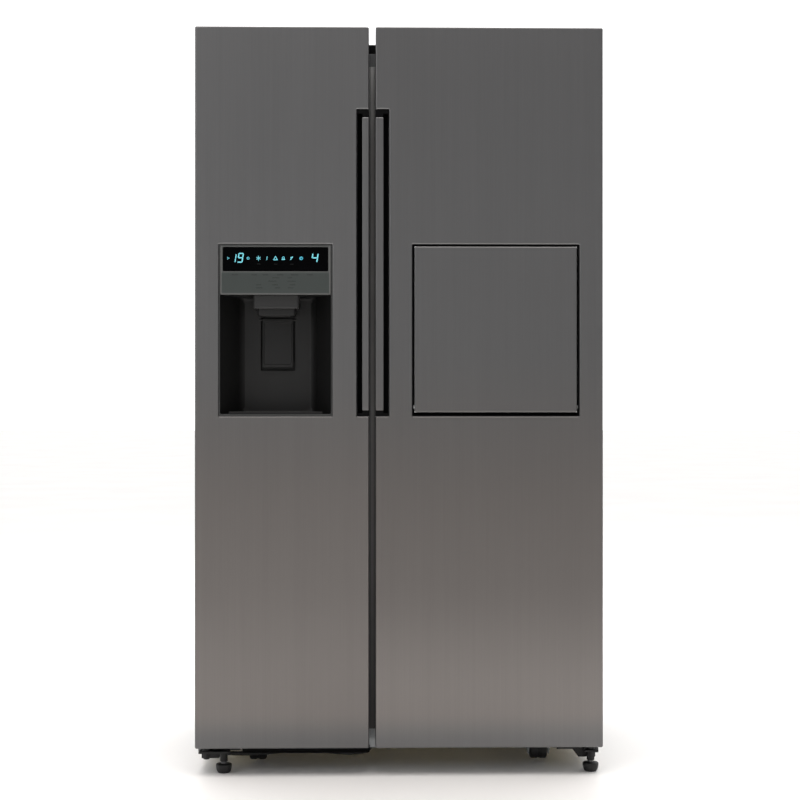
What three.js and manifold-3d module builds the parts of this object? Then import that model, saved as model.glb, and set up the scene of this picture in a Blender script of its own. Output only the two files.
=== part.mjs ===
// A side by side refrigerator with an ice and water dispenser in the freezer door and a
// drop-down home bar in the fridge door. Millimetres. +Z is up, +X runs to the right of
// someone facing the doors, and that person stands on the -Y side. The origin is on the
// floor, under the middle of the appliance.

import * as THREE from "three";
import { mergeVertices } from "three/addons/utils/BufferGeometryUtils.js";
import Module from "manifold-3d";

// ---------------------------------------------------------------- driving dimensions

const WIDTH = 940; // over the case and over both doors
const DEPTH = 740; // from the door fronts to the back of the machine cover
const DOOR_TOP = 1726;
const DOOR_BOTTOM = 65;
const FREEZER_DOOR_WIDTH = 400;
const DOOR_SPACING = 15; // between the free edges of the doors
const DOOR_THICKNESS = 62;
const SEAL_SPACE = 10; // from the back of a door to the cabinet's front
const DOOR_ABOVE_CASE = 47; // how far the doors rise past the case's top

const SHEET = 1; // steel sheet of the case and of the door fronts
const CONTACT = 0.3; // between fixed pieces that are shaped to each other
const RUNNING = 1.5; // between pieces that move past each other

const SIDE_WALL = 62; // insulation, from the outside of the case to the cavity
const TOP_WALL = 60;
const BACK_WALL = 60;
const PARTITION = 64; // between freezer and fridge
const LINER = 2.5;
const FLANGE = 30; // steel front edge of the case
const LIP = 3; // thickness of the liners' front edges
const RAIL_WIDTH = 44; // steel strip on the partition's front
const CASE_BOTTOM = 37;
const FOAM_BOTTOM = 95; // underside of the insulated part
const CAVITY_BOTTOM = 150;
const COVER_DEPTH = 20; // how far the machine cover stands out behind the rear panel
const MACHINE_DEPTH = 200;
const MACHINE_TOP = 300;
const STEP_WALL = 45; // insulation over and in front of the machine space

const SILL_DOWN = 897; // from the door tops down to the lower edge of all the openings
const FASCIA_DOWN = 501; // from the door tops down to the dispenser and the home bar
const OUTER_MARGIN = 55; // from a door's outer edge to the dispenser or the home bar
const INNER_MARGIN = 85; // from a door's free edge to the same
const HANDLE_TOP_MARGIN = 190; // from the top of the doors to the handle pockets
const FREEZER_POCKET = 28; // handle pockets, from the free edge
const FRIDGE_POCKET = 31;

const HINGE_IN = 24; // door pivots, from the outer side
const HINGE_BACK = 32; // door pivots, from the door front
const PIN_RADIUS = 5;
const PIN_CLEARANCE = 0.6;

// ---------------------------------------------------------------- derived planes

const left = -WIDTH / 2;
const right = WIDTH / 2;
const front = -DEPTH / 2;
const back = DEPTH / 2;
const gapCentre = left + FREEZER_DOOR_WIDTH + DOOR_SPACING / 2;
const doorBack = front + DOOR_THICKNESS;
const cabinetFront = doorBack + SEAL_SPACE;
const rearPanelBack = back - COVER_DEPTH;
const caseTop = DOOR_TOP - DOOR_ABOVE_CASE;
const sill = DOOR_TOP - SILL_DOWN;
const fasciaTop = DOOR_TOP - FASCIA_DOWN;
const hingeY = front + HINGE_BACK;
const machineFront = rearPanelBack - MACHINE_DEPTH;

// The two foam cavities, which the liners fill.
const cavityTop = caseTop - TOP_WALL;
const cavityBack = rearPanelBack - BACK_WALL;
const stepY = machineFront - STEP_WALL;
const stepZ = MACHINE_TOP + STEP_WALL;
const freezerX = [left + SIDE_WALL, gapCentre - PARTITION / 2];
const fridgeX = [gapCentre + PARTITION / 2, right - SIDE_WALL];

// ---------------------------------------------------------------- solids from geometry

const wasm = await Module();
wasm.setup();

function solid(geometry) {
  const bare = geometry.index ? geometry.toNonIndexed() : geometry.clone();
  bare.deleteAttribute("normal");
  bare.deleteAttribute("uv");
  const merged = mergeVertices(bare, 1e-4);
  return new wasm.Manifold(
    new wasm.Mesh({
      numProp: 3,
      vertProperties: new Float32Array(merged.attributes.position.array),
      triVerts: new Uint32Array(merged.index.array),
    }),
  );
}

function geometryOf(manifold) {
  const mesh = manifold.getMesh();
  const geometry = new THREE.BufferGeometry();
  geometry.setAttribute("position", new THREE.BufferAttribute(mesh.vertProperties, 3));
  geometry.setIndex(new THREE.BufferAttribute(mesh.triVerts, 1));
  const faceted = geometry.toNonIndexed();
  faceted.computeVertexNormals();
  return faceted;
}

const PAST = 1; // how far a cutting block runs past the face it cuts through

const join = (first, ...others) => others.reduce((sum, other) => sum.add(other), first);
const cut = (first, ...others) => others.reduce((rest, other) => rest.subtract(other), first);

// A block between two limits on each axis, in either order.
function block([x0, x1], [y0, y1], [z0, z1]) {
  const size = [Math.abs(x1 - x0), Math.abs(y1 - y0), Math.abs(z1 - z0)];
  const box = new THREE.BoxGeometry(...size);
  return solid(box.translate((x0 + x1) / 2, (y0 + y1) / 2, (z0 + z1) / 2));
}

// A cylinder along an axis, between two limits on that axis, centred at the other two.
function rod(axis, radius, [from, to], a, b, sides = 24) {
  const bar = new THREE.CylinderGeometry(radius, radius, Math.abs(to - from), sides);
  const middle = (from + to) / 2;
  if (axis === "x") return solid(bar.rotateZ(Math.PI / 2).translate(middle, a, b));
  if (axis === "y") return solid(bar.translate(a, middle, b));
  return solid(bar.rotateX(Math.PI / 2).translate(a, b, middle));
}

// A turned shape about Z from (radius, height) points that start and end on the axis.
function turned(points, sides = 24) {
  const profile = points.map(([radius, height]) => new THREE.Vector2(radius, height));
  return solid(new THREE.LatheGeometry(profile, sides).rotateX(Math.PI / 2));
}

// A prism whose plan is a list of (x, y) points, between two heights.
function planPrism(points, [z0, z1]) {
  const shape = new THREE.Shape(points.map(([x, y]) => new THREE.Vector2(x, y)));
  const prism = new THREE.ExtrudeGeometry(shape, { depth: z1 - z0, bevelEnabled: false });
  return solid(prism.translate(0, 0, z0));
}

// A plate whose outline is a list of (x, z) points, between two places on Y.
function platePrism(points, [y0, y1]) {
  const shape = new THREE.Shape(points.map(([x, z]) => new THREE.Vector2(x, z)));
  const plate = new THREE.ExtrudeGeometry(shape, { depth: y1 - y0, bevelEnabled: false });
  return solid(plate.rotateX(Math.PI / 2).translate(0, y1, 0));
}

const grow = ([low, high], by) => [low - by, high + by];
const sorted = (a, b) => [Math.min(a, b), Math.max(a, b)];
const middleOf = ([low, high]) => (low + high) / 2;
const repeat = (count, make) => Array.from({ length: count }, (_, i) => make(i));

// An open box: walls and a floor, open at the top.
function tub(x, y, z, wall) {
  return cut(block(x, y, z), block(grow(x, -wall), grow(y, -wall), [z[0] + wall, z[1] + 1]));
}

// ---------------------------------------------------------------- materials

const finish = (color, roughness, metalness = 0) =>
  new THREE.MeshStandardMaterial({ color, roughness, metalness });
const steel = finish(0x77756f, 0.35, 0.9); // brushed door fronts
const casePaint = finish(0x55575a, 0.55, 0.3);
const zinc = finish(0x9a9c9e, 0.45, 0.8);
const blackPlastic = finish(0x17181a, 0.45);
const greyPlastic = finish(0x55595a, 0.4, 0.2);
const whitePlastic = finish(0xe9ecec, 0.4);
const clearPlastic = finish(0xcfdde2, 0.15);
const glass = finish(0xbfd6d2, 0.05);
const darkGlass = finish(0x050608, 0.08);
const rubber = finish(0x2a2b2d, 0.8);
const foam = finish(0xd8c790, 0.95);
const aluminium = finish(0xc2c5c8, 0.4, 0.9);
const blackPaint = finish(0x101112, 0.4, 0.2);
const hoseBlack = finish(0x1b1c1e, 0.6);

const appliance = new THREE.Group();
const cabinet = new THREE.Group();
const freezerDoor = new THREE.Group();
const fridgeDoor = new THREE.Group();
appliance.add(cabinet, freezerDoor, fridgeDoor);

function add(group, name, shape, material) {
  const mesh = new THREE.Mesh(geometryOf(shape), material);
  mesh.name = name;
  group.add(mesh);
  return mesh;
}

// ---------------------------------------------------------------- case and insulation

function outerCase() {
  const body = block([left, right], [cabinetFront, rearPanelBack], [CASE_BOTTOM, caseTop]);
  const inside = block(
    [left + SHEET, right - SHEET],
    [cabinetFront - PAST, rearPanelBack + PAST],
    [CASE_BOTTOM - PAST, caseTop - SHEET],
  );
  const edge = [cabinetFront, cabinetFront + SHEET];
  const height = [CASE_BOTTOM, caseTop];
  return join(
    cut(body, inside),
    block([left, left + FLANGE], edge, height),
    block([right - FLANGE, right], edge, height),
    block([left, right], edge, [caseTop - FLANGE, caseTop]),
  );
}

// A cavity with the step that the machine space makes at its lower back.
function steppedCavity(x, shrink) {
  const y = [cabinetFront - PAST, cavityBack - shrink];
  const z = [CAVITY_BOTTOM + shrink, cavityTop - shrink];
  const step = block(grow(x, PAST), [stepY - shrink, cavityBack + PAST], [0, stepZ + shrink]);
  return cut(block(grow(x, -shrink), y, z), step);
}

function cabinetFoam() {
  const body = block(
    [left + SHEET, right - SHEET],
    [cabinetFront + LIP, rearPanelBack - SHEET],
    [FOAM_BOTTOM, caseTop - SHEET],
  );
  const machineSpace = block([left, right], [machineFront, back], [0, MACHINE_TOP]);
  return cut(body, steppedCavity(freezerX, 0), steppedCavity(fridgeX, 0), machineSpace);
}

const BIN_SPACE = 108; // from the cabinet's front to the shelves, for the door bins
const LEDGE = { reach: 7, height: 5, gap: 0.5 }; // the gap is under the shelf that rests on it
const SHELF = { side: 1.5, rim: 14, pane: 5, lipUp: 9, lipDown: 9, backLip: 12, backGap: 4 };
const DRAWER = {
  floorGap: 3,
  stepGap: 2, // over the machine step
  underStep: 12, // from the top of the step down to the lower drawer's edge
  height: 155,
  coverGap: 15,
  side: 4,
  wall: 3,
  front: 14, // thickness of the front
  behindShelf: 5, // how far the front stands behind the shelves' edges
  lowerBackGap: 8,
  upperBackGap: 12,
  grip: { half: 60, depth: 9, from: 12, height: 22 },
};

const shelfFront = cabinetFront + BIN_SPACE;
const lowerDrawerZ = [CAVITY_BOTTOM + LINER + DRAWER.floorGap, stepZ - DRAWER.underStep];
const upperDrawerBottom = stepZ + LINER + DRAWER.stepGap;
const upperDrawerZ = [upperDrawerBottom, upperDrawerBottom + DRAWER.height];
const crisperCoverZ = upperDrawerZ[1] + DRAWER.coverGap;

// Shelf levels are spread evenly between the drawers and the ceiling.
const shelfPitch = (cavityTop - crisperCoverZ) / 4;
const fridgeShelfZ = [crisperCoverZ + shelfPitch, crisperCoverZ + 2 * shelfPitch];

const BUCKET = { height: 170, aboveFascia: 12, aboveShelf: 14, wall: 3, spoutHeight: 44 };
const bucketBottom = fasciaTop + BUCKET.aboveFascia;
const bucketZ = [bucketBottom, bucketBottom + BUCKET.height];
const freezerShelfZ = bucketBottom - BUCKET.aboveShelf;

// Ledges along both side walls, whose tops are at the given heights.
function ledges(x, tops, yBack) {
  const y = [shelfFront + SHELF.rim + RUNNING, yBack];
  const reach = [LINER / 2, LINER + LEDGE.reach]; // rooted inside the liner's wall
  return tops.flatMap((top) => [
    block([x[0] + reach[0], x[0] + reach[1]], y, [top - LEDGE.height, top]),
    block([x[1] - reach[1], x[1] - reach[0]], y, [top - LEDGE.height, top]),
  ]);
}

function liner(x, lipX, ledgeTops) {
  const lipZ = [FOAM_BOTTOM, caseTop - FLANGE];
  const lip = block(lipX, [cabinetFront, cabinetFront + LIP], lipZ);
  const shell = cut(join(steppedCavity(x, 0), lip), steppedCavity(x, LINER));
  const ahead = block([left, right], [cabinetFront - 2 * PAST, cabinetFront], [0, caseTop]);
  return cut(join(shell, ...ledges(x, ledgeTops, stepY - LINER / 2)), ahead);
}

const railX = [gapCentre - RAIL_WIDTH / 2, gapCentre + RAIL_WIDTH / 2];
const ledgeUnder = (level) => level - LEDGE.gap;
const upperRunner = ledgeUnder(upperDrawerBottom);

add(cabinet, "outer_case", outerCase(), casePaint);
add(cabinet, "cabinet_foam", cabinetFoam(), foam);
add(
  cabinet,
  "freezer_liner",
  liner(freezerX, [left + FLANGE, railX[0]], [upperRunner, ledgeUnder(freezerShelfZ)]),
  whitePlastic,
);
add(
  cabinet,
  "fridge_liner",
  liner(
    fridgeX,
    [railX[1], right - FLANGE],
    [upperRunner, ...[crisperCoverZ, ...fridgeShelfZ].map(ledgeUnder)],
  ),
  whitePlastic,
);
add(
  cabinet,
  "centre_rail",
  block(railX, [cabinetFront, cabinetFront + LIP], [FOAM_BOTTOM, caseTop - FLANGE]),
  casePaint,
);
add(
  cabinet,
  "rear_panel",
  block(
    [left + SHEET, right - SHEET],
    [rearPanelBack - SHEET, rearPanelBack],
    [MACHINE_TOP, caseTop - SHEET],
  ),
  zinc,
);

// ---------------------------------------------------------------- base, rollers and feet

const ROLLER = { radius: 22, width: 42, bore: 4.4, axle: 4, chamfer: 4, fork: 14, below: 9 };
const ROLLER_IN = 135; // from the sides of the case to the rollers' middles
const FRONT_ROLLER_LIFT = 8; // the levelling feet carry the front, so these clear the floor
const FRAME_BOTTOM = 50;
const FRAME_PLATE = 3;
const CROSSBAR = { gap: 4, depth: 36 }; // gap behind the cabinet's front
const FRONT_ROLLER_BACK = 72; // from the cabinet's front
const REAR_ROLLER_IN = 45; // from the rear panel
const rollerX = right - ROLLER_IN;
const crossbarFront = cabinetFront + CROSSBAR.gap;
const frontRollerY = cabinetFront + FRONT_ROLLER_BACK;
const rearRollerY = rearPanelBack - REAR_ROLLER_IN;
const frontAxleZ = ROLLER.radius + FRONT_ROLLER_LIFT;
const rearAxleZ = ROLLER.radius;
const cheek = ROLLER.width / 2 + RUNNING; // from a roller's middle to its fork

function rollerFork(x, y, axleZ, top) {
  const plates = [-1, 1].map((side) =>
    block(
      sorted(x + side * cheek, x + side * (cheek + FRAME_PLATE)),
      [y - ROLLER.fork, y + ROLLER.fork],
      [axleZ - ROLLER.below, top],
    ),
  );
  const span = grow([x, x], cheek + FRAME_PLATE + 2);
  return [...plates, rod("x", ROLLER.axle, span, y, axleZ, 16)];
}

const FAN = {
  x: 60,
  radius: 68,
  depth: 26,
  overTray: 12,
  hub: 20,
  shaft: 3,
  bore: 3.4,
  blades: 5,
  blade: { thickness: 2.5, twist: 0.6, root: 4, chord: 35.1 },
  motor: { gap: 6, radius: 24, length: 40, foot: 4, footDepth: 30 },
};
const trayTop = FRAME_BOTTOM + FRAME_PLATE;
const machineMiddleY = (machineFront + rearPanelBack) / 2;
const fanZ = trayTop + FAN.radius + FAN.overTray;

function baseFrame() {
  const inner = [left + SHEET, right - SHEET];
  const crossbarY = [crossbarFront, crossbarFront + CROSSBAR.depth];
  const crossbar = block(inner, crossbarY, [FRAME_BOTTOM, FOAM_BOTTOM]);
  const tray = block(
    inner,
    [machineFront, rearPanelBack - SHEET],
    [FRAME_BOTTOM, trayTop],
  );
  const railTop = [FOAM_BOTTOM - FRAME_PLATE, FOAM_BOTTOM];
  const railY = [crossbarFront, machineFront + 2 * FRAME_PLATE];
  const railWidth = cheek + FRAME_PLATE;
  const rails = [-rollerX, rollerX].flatMap((x) => [
    block(grow([x, x], railWidth), railY, railTop),
    ...[-1, 1].map((side) =>
      block(
        sorted(x + side * cheek, x + side * railWidth),
        railY,
        [FRAME_BOTTOM, FOAM_BOTTOM],
      ),
    ),
    ...rollerFork(x, frontRollerY, frontAxleZ, FOAM_BOTTOM),
    ...rollerFork(x, rearRollerY, rearAxleZ, FRAME_BOTTOM + FRAME_PLATE / 2),
  ]);
  const machineWall = block(
    inner,
    [machineFront, machineFront + FRAME_PLATE],
    [FRAME_BOTTOM, FOAM_BOTTOM],
  );
  const motorStart = FAN.x + FAN.depth / 2 + FAN.motor.gap;
  const motorX = [motorStart, motorStart + FAN.motor.length];
  const motorMiddle = middleOf(motorX);
  const shaftX = [FAN.x - FAN.depth / 2, motorStart + PAST];
  const fanMotor = [
    rod("x", FAN.motor.radius, motorX, machineMiddleY, fanZ),
    rod("x", FAN.shaft, shaftX, machineMiddleY, fanZ, 16),
    block(
      grow([motorMiddle, motorMiddle], FAN.motor.foot),
      grow([machineMiddleY, machineMiddleY], FAN.motor.footDepth),
      [FRAME_BOTTOM + FRAME_PLATE / 2, fanZ],
    ),
  ];
  return join(crossbar, tray, machineWall, ...rails, ...fanMotor);
}

function roller() {
  const half = ROLLER.width / 2;
  const rim = ROLLER.radius - ROLLER.chamfer;
  const profile = [
    [0, -half],
    [rim, -half],
    [ROLLER.radius, -half + ROLLER.chamfer],
    [ROLLER.radius, half - ROLLER.chamfer],
    [rim, half],
    [0, half],
  ];
  return cut(turned(profile), rod("z", ROLLER.bore, grow([-half, half], PAST), 0, 0, 16));
}

const FOOT = { sole: 12.5, radius: 18.5, round: 5, height: 22, stem: 4, stemTop: 62, bore: 4.6 };
const LEFT_FOOT_IN = 62; // levelling feet, from the outer side
const RIGHT_FOOT_IN = 22;
const FOOT_BEHIND_PIN = 17;
const footY = hingeY + FOOT_BEHIND_PIN;
const footX = { left: left + LEFT_FOOT_IN, right: right - RIGHT_FOOT_IN };

function levellingFoot() {
  return turned([
    [0, 0],
    [FOOT.sole, 0],
    [FOOT.radius - 2, FOOT.round],
    [FOOT.radius, 2 * FOOT.round],
    [FOOT.radius, FOOT.height - FOOT.round],
    [FOOT.radius - 4, FOOT.height],
    [FOOT.stem, FOOT.height],
    [FOOT.stem, FOOT.stemTop],
    [0, FOOT.stemTop],
  ]);
}

add(cabinet, "base_frame", baseFrame(), zinc);
for (const [side, name] of [[-1, "left"], [1, "right"]]) {
  const frontRoller = add(cabinet, `front_roller_${name}`, roller(), blackPlastic);
  frontRoller.rotation.y = Math.PI / 2;
  frontRoller.position.set(side * rollerX, frontRollerY, frontAxleZ);
  const rearRoller = add(cabinet, `rear_roller_${name}`, roller(), blackPlastic);
  rearRoller.rotation.y = Math.PI / 2;
  rearRoller.position.set(side * rollerX, rearRollerY, rearAxleZ);
  const foot = add(cabinet, `levelling_foot_${name}`, levellingFoot(), blackPlastic);
  foot.position.set(footX[name], footY, 0);
}

// ---------------------------------------------------------------- door hinges

const ARM = 11; // half the width of an upper hinge arm
const HINGE_PLATE = 4;
const HINGE_POCKET_DROP = 3; // clearance under the upper arm
const HINGE_FOOT = { start: 18, end: 95, reach: 60 }; // screwed to the case's top
const BRACKET = {
  outer: 16, // past the pin, toward the side
  inner: 75,
  web: [24, 38], // slanted lower edge
  webDrop: 4,
  outerDrop: 9,
  shelf: 5,
  shelfFront: 14, // ahead of the pin
  boss: 9,
  footBoss: 26, // lower end of the boss over the foot
  bolt: { radius: 8, height: 14, ahead: 4 },
};
const PIN_DEPTH = 20;
const pocketFloor = caseTop - HINGE_POCKET_DROP;
const pivotX = { left: left + HINGE_IN, right: right - HINGE_IN };

// The upper arm lies on the case's top, and its pin reaches down into the door.
function upperHinge(side, x) {
  const z = [caseTop, caseTop + HINGE_PLATE];
  const footPlateY = [cabinetFront + HINGE_FOOT.start, cabinetFront + HINGE_FOOT.end];
  return join(
    block([x - ARM, x + ARM], [hingeY, footPlateY[1]], z),
    rod("z", ARM, z, x, hingeY),
    block(sorted(x + side * ARM, x - side * HINGE_FOOT.reach), footPlateY, z),
    rod("z", PIN_RADIUS, [pocketFloor - PIN_DEPTH, caseTop + PAST], x, hingeY),
  );
}

// The lower bracket is bolted to the front of the base. Its pin stands up into the door,
// and its boss takes the thread of a levelling foot.
function lowerHinge(side, x, foot) {
  const shelfZ = [FRAME_BOTTOM, FRAME_BOTTOM + BRACKET.shelf];
  const outer = x + side * BRACKET.outer;
  const inner = x - side * BRACKET.inner;
  const [webLow, webHigh] = BRACKET.web.map((distance) => x - side * distance);
  const outerEdge = CASE_BOTTOM - BRACKET.outerDrop;
  const innerEdge = FRAME_BOTTOM - BRACKET.webDrop;
  const upperEdge = DOOR_BOTTOM - 1;
  const mountPlate = platePrism(
    [
      [inner, innerEdge],
      [webHigh, innerEdge],
      [webLow, outerEdge],
      [outer, outerEdge],
      [outer, upperEdge],
      [inner, upperEdge],
    ],
    [cabinetFront - HINGE_PLATE, cabinetFront],
  );
  const shelf = block(
    sorted(outer, Math.min(side * foot, side * x) * side - side * BRACKET.outer),
    [hingeY - BRACKET.shelfFront, cabinetFront - PAST],
    shelfZ,
  );
  const bore = rod("z", FOOT.bore, [0, FOOT.stemTop + RUNNING], foot, footY, 16);
  const { bolt } = BRACKET;
  return cut(
    join(
      mountPlate,
      shelf,
      rod("z", BRACKET.boss, [BRACKET.footBoss, shelfZ[0] + PAST], foot, footY),
      rod("z", BRACKET.boss, [shelfZ[0], DOOR_BOTTOM - RUNNING / 3], x, hingeY),
      rod("z", bolt.radius, [shelfZ[0] - bolt.height, shelfZ[0] + PAST], x, hingeY - bolt.ahead, 6),
      rod("z", PIN_RADIUS, [shelfZ[0], DOOR_BOTTOM + PIN_DEPTH], x, hingeY),
    ),
    bore,
  );
}

for (const [side, name] of [[-1, "left"], [1, "right"]]) {
  add(cabinet, `upper_hinge_${name}`, upperHinge(side, pivotX[name]), zinc);
  add(cabinet, `lower_hinge_${name}`, lowerHinge(side, pivotX[name], footX[name]), blackPaint);
}

// The strip over the front of the case hides the upper hinges.
const TOP_COVER = { height: 22, depth: 130, wall: 2.5, inset: 4, armGap: 2, slotDepth: 10 };

function topCover() {
  const x = [left + TOP_COVER.inset, right - TOP_COVER.inset];
  const y = [cabinetFront, cabinetFront + TOP_COVER.depth];
  const z = [caseTop, caseTop + TOP_COVER.height];
  const armSlots = [pivotX.left, pivotX.right].map((pivot) =>
    block(
      grow([pivot, pivot], ARM + TOP_COVER.armGap),
      [cabinetFront - PAST, cabinetFront + TOP_COVER.slotDepth],
      [caseTop - PAST, caseTop + HINGE_PLATE + TOP_COVER.armGap],
    ),
  );
  const hollow = block(
    grow(x, -TOP_COVER.wall),
    grow(y, -TOP_COVER.wall),
    [caseTop - PAST, z[1] - TOP_COVER.wall],
  );
  return cut(block(x, y, z), hollow, ...armSlots);
}

add(cabinet, "top_cover", topCover(), blackPlastic);

// ---------------------------------------------------------------- refrigeration

const COMPRESSOR = {
  x: 270,
  radius: 72,
  height: 165,
  lift: 12, // height of its rubber grommets
  plate: { half: [95, 62], thickness: 5 },
  grommet: { radius: 9, x: 82, y: 50 },
  stub: { radius: 5, x: 18, height: 22 },
};

function compressor() {
  const { radius, height, lift, plate, grommet, stub } = COMPRESSOR;
  const shell = turned(
    [
      [0, lift],
      [radius * 0.7, lift + 4],
      [radius, lift + 28],
      [radius, height - 45],
      [radius * 0.86, height - 18],
      [radius * 0.5, height - 4],
      [0, height],
    ],
    28,
  );
  const [halfX, halfY] = plate.half;
  const grommets = [-1, 1].flatMap((side) =>
    [-1, 1].map((end) =>
      rod("z", grommet.radius, [0, lift + PAST], side * grommet.x, end * grommet.y, 12),
    ),
  );
  return join(
    shell,
    block([-halfX, halfX], [-halfY, halfY], [lift, lift + plate.thickness]),
    rod("z", stub.radius, [height - stub.height / 4, height + stub.height], stub.x, 0, 12),
    ...grommets,
  );
}

// A tube-and-fin heat exchanger: tubes along X through upright plates.
const COIL = { fin: 1.2, tube: 4 };

function finnedCoil(x, y, z, finCount, rows) {
  const pitch = (x[1] - x[0] - COIL.fin) / (finCount - 1);
  const fins = repeat(finCount, (i) =>
    block([x[0] + i * pitch, x[0] + i * pitch + COIL.fin], y, z),
  );
  const rowPitch = (z[1] - z[0]) / rows;
  const tubes = repeat(rows, (i) =>
    rod("x", COIL.tube, x, middleOf(y), z[0] + rowPitch * (i + 0.5), 6),
  );
  return join(fins[0], ...fins.slice(1), ...tubes);
}

function fanBlades() {
  const { radius, depth, hub, bore, blades, blade } = FAN;
  const half = depth / 2;
  const root = hub - blade.root; // the blades start inside the hub
  const ring = repeat(blades, (i) =>
    solid(
      new THREE.BoxGeometry(blade.thickness, radius - root, blade.chord)
        .rotateY(blade.twist)
        .translate(0, (radius + root) / 2, 0)
        .rotateX((i * 2 * Math.PI) / blades),
    ),
  );
  const centre = join(rod("x", hub, [-half, half], 0, 0), ...ring);
  return cut(centre, rod("x", bore, grow([-half, half], PAST), 0, 0, 16));
}

// The cover at the back of the machine space. The power cord leaves it through a collar.
const COVER = { inset: 20, over: 12, under: 6, wall: 2.5 };
const LOUVRE = { banks: [-0.27, 0.27], rows: 7, half: 120, first: 36, pitch: 26, height: 10 };
const GLAND = { in: 50, up: 20, radius: 13, bore: 5, depth: 10 };

function machineCover() {
  const x = [left + COVER.inset, right - COVER.inset];
  const z = [FRAME_BOTTOM + COVER.under, MACHINE_TOP + COVER.over];
  const y = [rearPanelBack + CONTACT, back];
  const shell = cut(
    block(x, y, z),
    block(grow(x, -COVER.wall), [y[0] - PAST, y[1] - COVER.wall], grow(z, -COVER.wall)),
  );
  const slots = LOUVRE.banks.flatMap((share) =>
    repeat(LOUVRE.rows, (i) => {
      const centre = share * WIDTH;
      const low = z[0] + LOUVRE.first + i * LOUVRE.pitch;
      return block(
        grow([centre, centre], LOUVRE.half),
        [y[1] - 2 * COVER.wall, y[1] + PAST],
        [low, low + LOUVRE.height],
      );
    }),
  );
  const glandAt = [x[1] - GLAND.in, z[0] + GLAND.up];
  const collar = rod("y", GLAND.radius, [y[1] - GLAND.depth, y[1]], ...glandAt);
  const cordHole = rod("y", GLAND.bore, grow(y, PAST), ...glandAt, 16);
  return cut(join(cut(shell, ...slots), collar), cordHole);
}

const EVAPORATOR = { thickness: 55, height: 380, behind: 4, aboveStep: 60, side: 12 };
const AIR_COVER = { gap: 10, thickness: 3, side: 45, vents: 4, pitch: 14, slot: 6 };
const linerBack = cavityBack - LINER;
const evaporatorBack = linerBack - EVAPORATOR.behind;
const evaporatorY = [evaporatorBack - EVAPORATOR.thickness, evaporatorBack];
const evaporatorBottom = stepZ + EVAPORATOR.aboveStep;
const evaporatorZ = [evaporatorBottom, evaporatorBottom + EVAPORATOR.height];
const freezerInner = grow(freezerX, -LINER);
const fridgeInner = grow(fridgeX, -LINER);
const coverBack = evaporatorY[0] - AIR_COVER.gap;
const coverY = [coverBack - AIR_COVER.thickness, coverBack];
const ventBases = [stepZ + 25, cavityTop - 130]; // air in at the bottom, out at the top

function evaporatorCover() {
  const x = grow(freezerInner, -CONTACT);
  const panel = block(x, coverY, [stepZ + LINER + CONTACT, cavityTop - LINER - CONTACT]);
  const slotX = grow(x, -AIR_COVER.side);
  const vents = ventBases.flatMap((base) =>
    repeat(AIR_COVER.vents, (i) => {
      const low = base + i * AIR_COVER.pitch;
      return block(slotX, grow(coverY, PAST), [low, low + AIR_COVER.slot]);
    }),
  );
  return cut(panel, ...vents);
}

const compressorMesh = add(cabinet, "compressor", compressor(), blackPaint);
compressorMesh.position.set(COMPRESSOR.x, machineMiddleY, trayTop);
const CONDENSER = { in: 60, fanGap: 30, halfDepth: 55, headroom: 60, fins: 10, rows: 4 };
add(
  cabinet,
  "condenser_coil",
  finnedCoil(
    [left + CONDENSER.in, FAN.x - FAN.depth / 2 - CONDENSER.fanGap],
    grow([machineMiddleY, machineMiddleY], CONDENSER.halfDepth),
    [trayTop, MACHINE_TOP - CONDENSER.headroom],
    CONDENSER.fins,
    CONDENSER.rows,
  ),
  blackPaint,
);
const fan = add(cabinet, "condenser_fan", fanBlades(), whitePlastic);
fan.position.set(FAN.x, machineMiddleY, fanZ);
add(cabinet, "machine_cover", machineCover(), zinc);
add(
  cabinet,
  "evaporator",
  finnedCoil(grow(freezerInner, -EVAPORATOR.side), evaporatorY, evaporatorZ, 9, 4),
  aluminium,
);
add(cabinet, "evaporator_cover", evaporatorCover(), whitePlastic);

// The water line comes out of the freezer door's lower hinge and hangs in two shallow
// loops behind the door's lower edge before it runs back to the machine tray.
const HOSE_RADIUS = 4.5;
const HOSE_BACK = 14; // from the cabinet's front
const hoseY = cabinetFront + HOSE_BACK;
const hoseRoute = [
  [left + 20, hoseY - 2, 43],
  [left + 45, hoseY - 2, 39],
  [left + 75, hoseY - 1, 36],
  [left + 115, hoseY, 35],
  [left + 160, hoseY, 37.5],
  [left + 210, hoseY, 41.5],
  [left + 255, hoseY, 43.5],
  [left + 300, hoseY, 40],
  [left + 340, hoseY, 36],
  [left + 370, hoseY + 1, 36],
  [left + 392, hoseY + 9, 38.5],
  [left + 402, hoseY + 26, 42],
  [left + 405, hoseY + 60, 44],
  [left + 405, hoseY + 180, 44],
  [left + 405, hoseY + 330, 44],
  [left + 405, machineFront - 40, 44],
];

function tubeAlong(points, radius, steps, sides) {
  const curve = new THREE.CatmullRomCurve3(points.map((p) => new THREE.Vector3(...p)));
  const section = new THREE.Shape(
    repeat(sides, (i) => {
      const angle = (i * 2 * Math.PI) / sides;
      return new THREE.Vector2(radius * Math.cos(angle), radius * Math.sin(angle));
    }),
  );
  return solid(new THREE.ExtrudeGeometry(section, { steps, extrudePath: curve }));
}

add(cabinet, "water_hose", tubeAlong(hoseRoute, HOSE_RADIUS, 56, 8), hoseBlack);

// ---------------------------------------------------------------- inside the compartments

const shelfBack = {
  freezer: coverY[0] - SHELF.backGap,
  fridge: linerBack - SHELF.backGap,
};

// A pane in a rim that is deeper along its front edge.
function shelf(x, yBack, level) {
  return join(
    block(x, [shelfFront, yBack], [level, level + SHELF.pane]),
    block(
      x,
      [shelfFront, shelfFront + SHELF.rim],
      [level - SHELF.lipDown, level + SHELF.lipUp],
    ),
    block(x, [yBack - SHELF.rim / 2, yBack], [level, level + SHELF.backLip]),
  );
}

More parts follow.
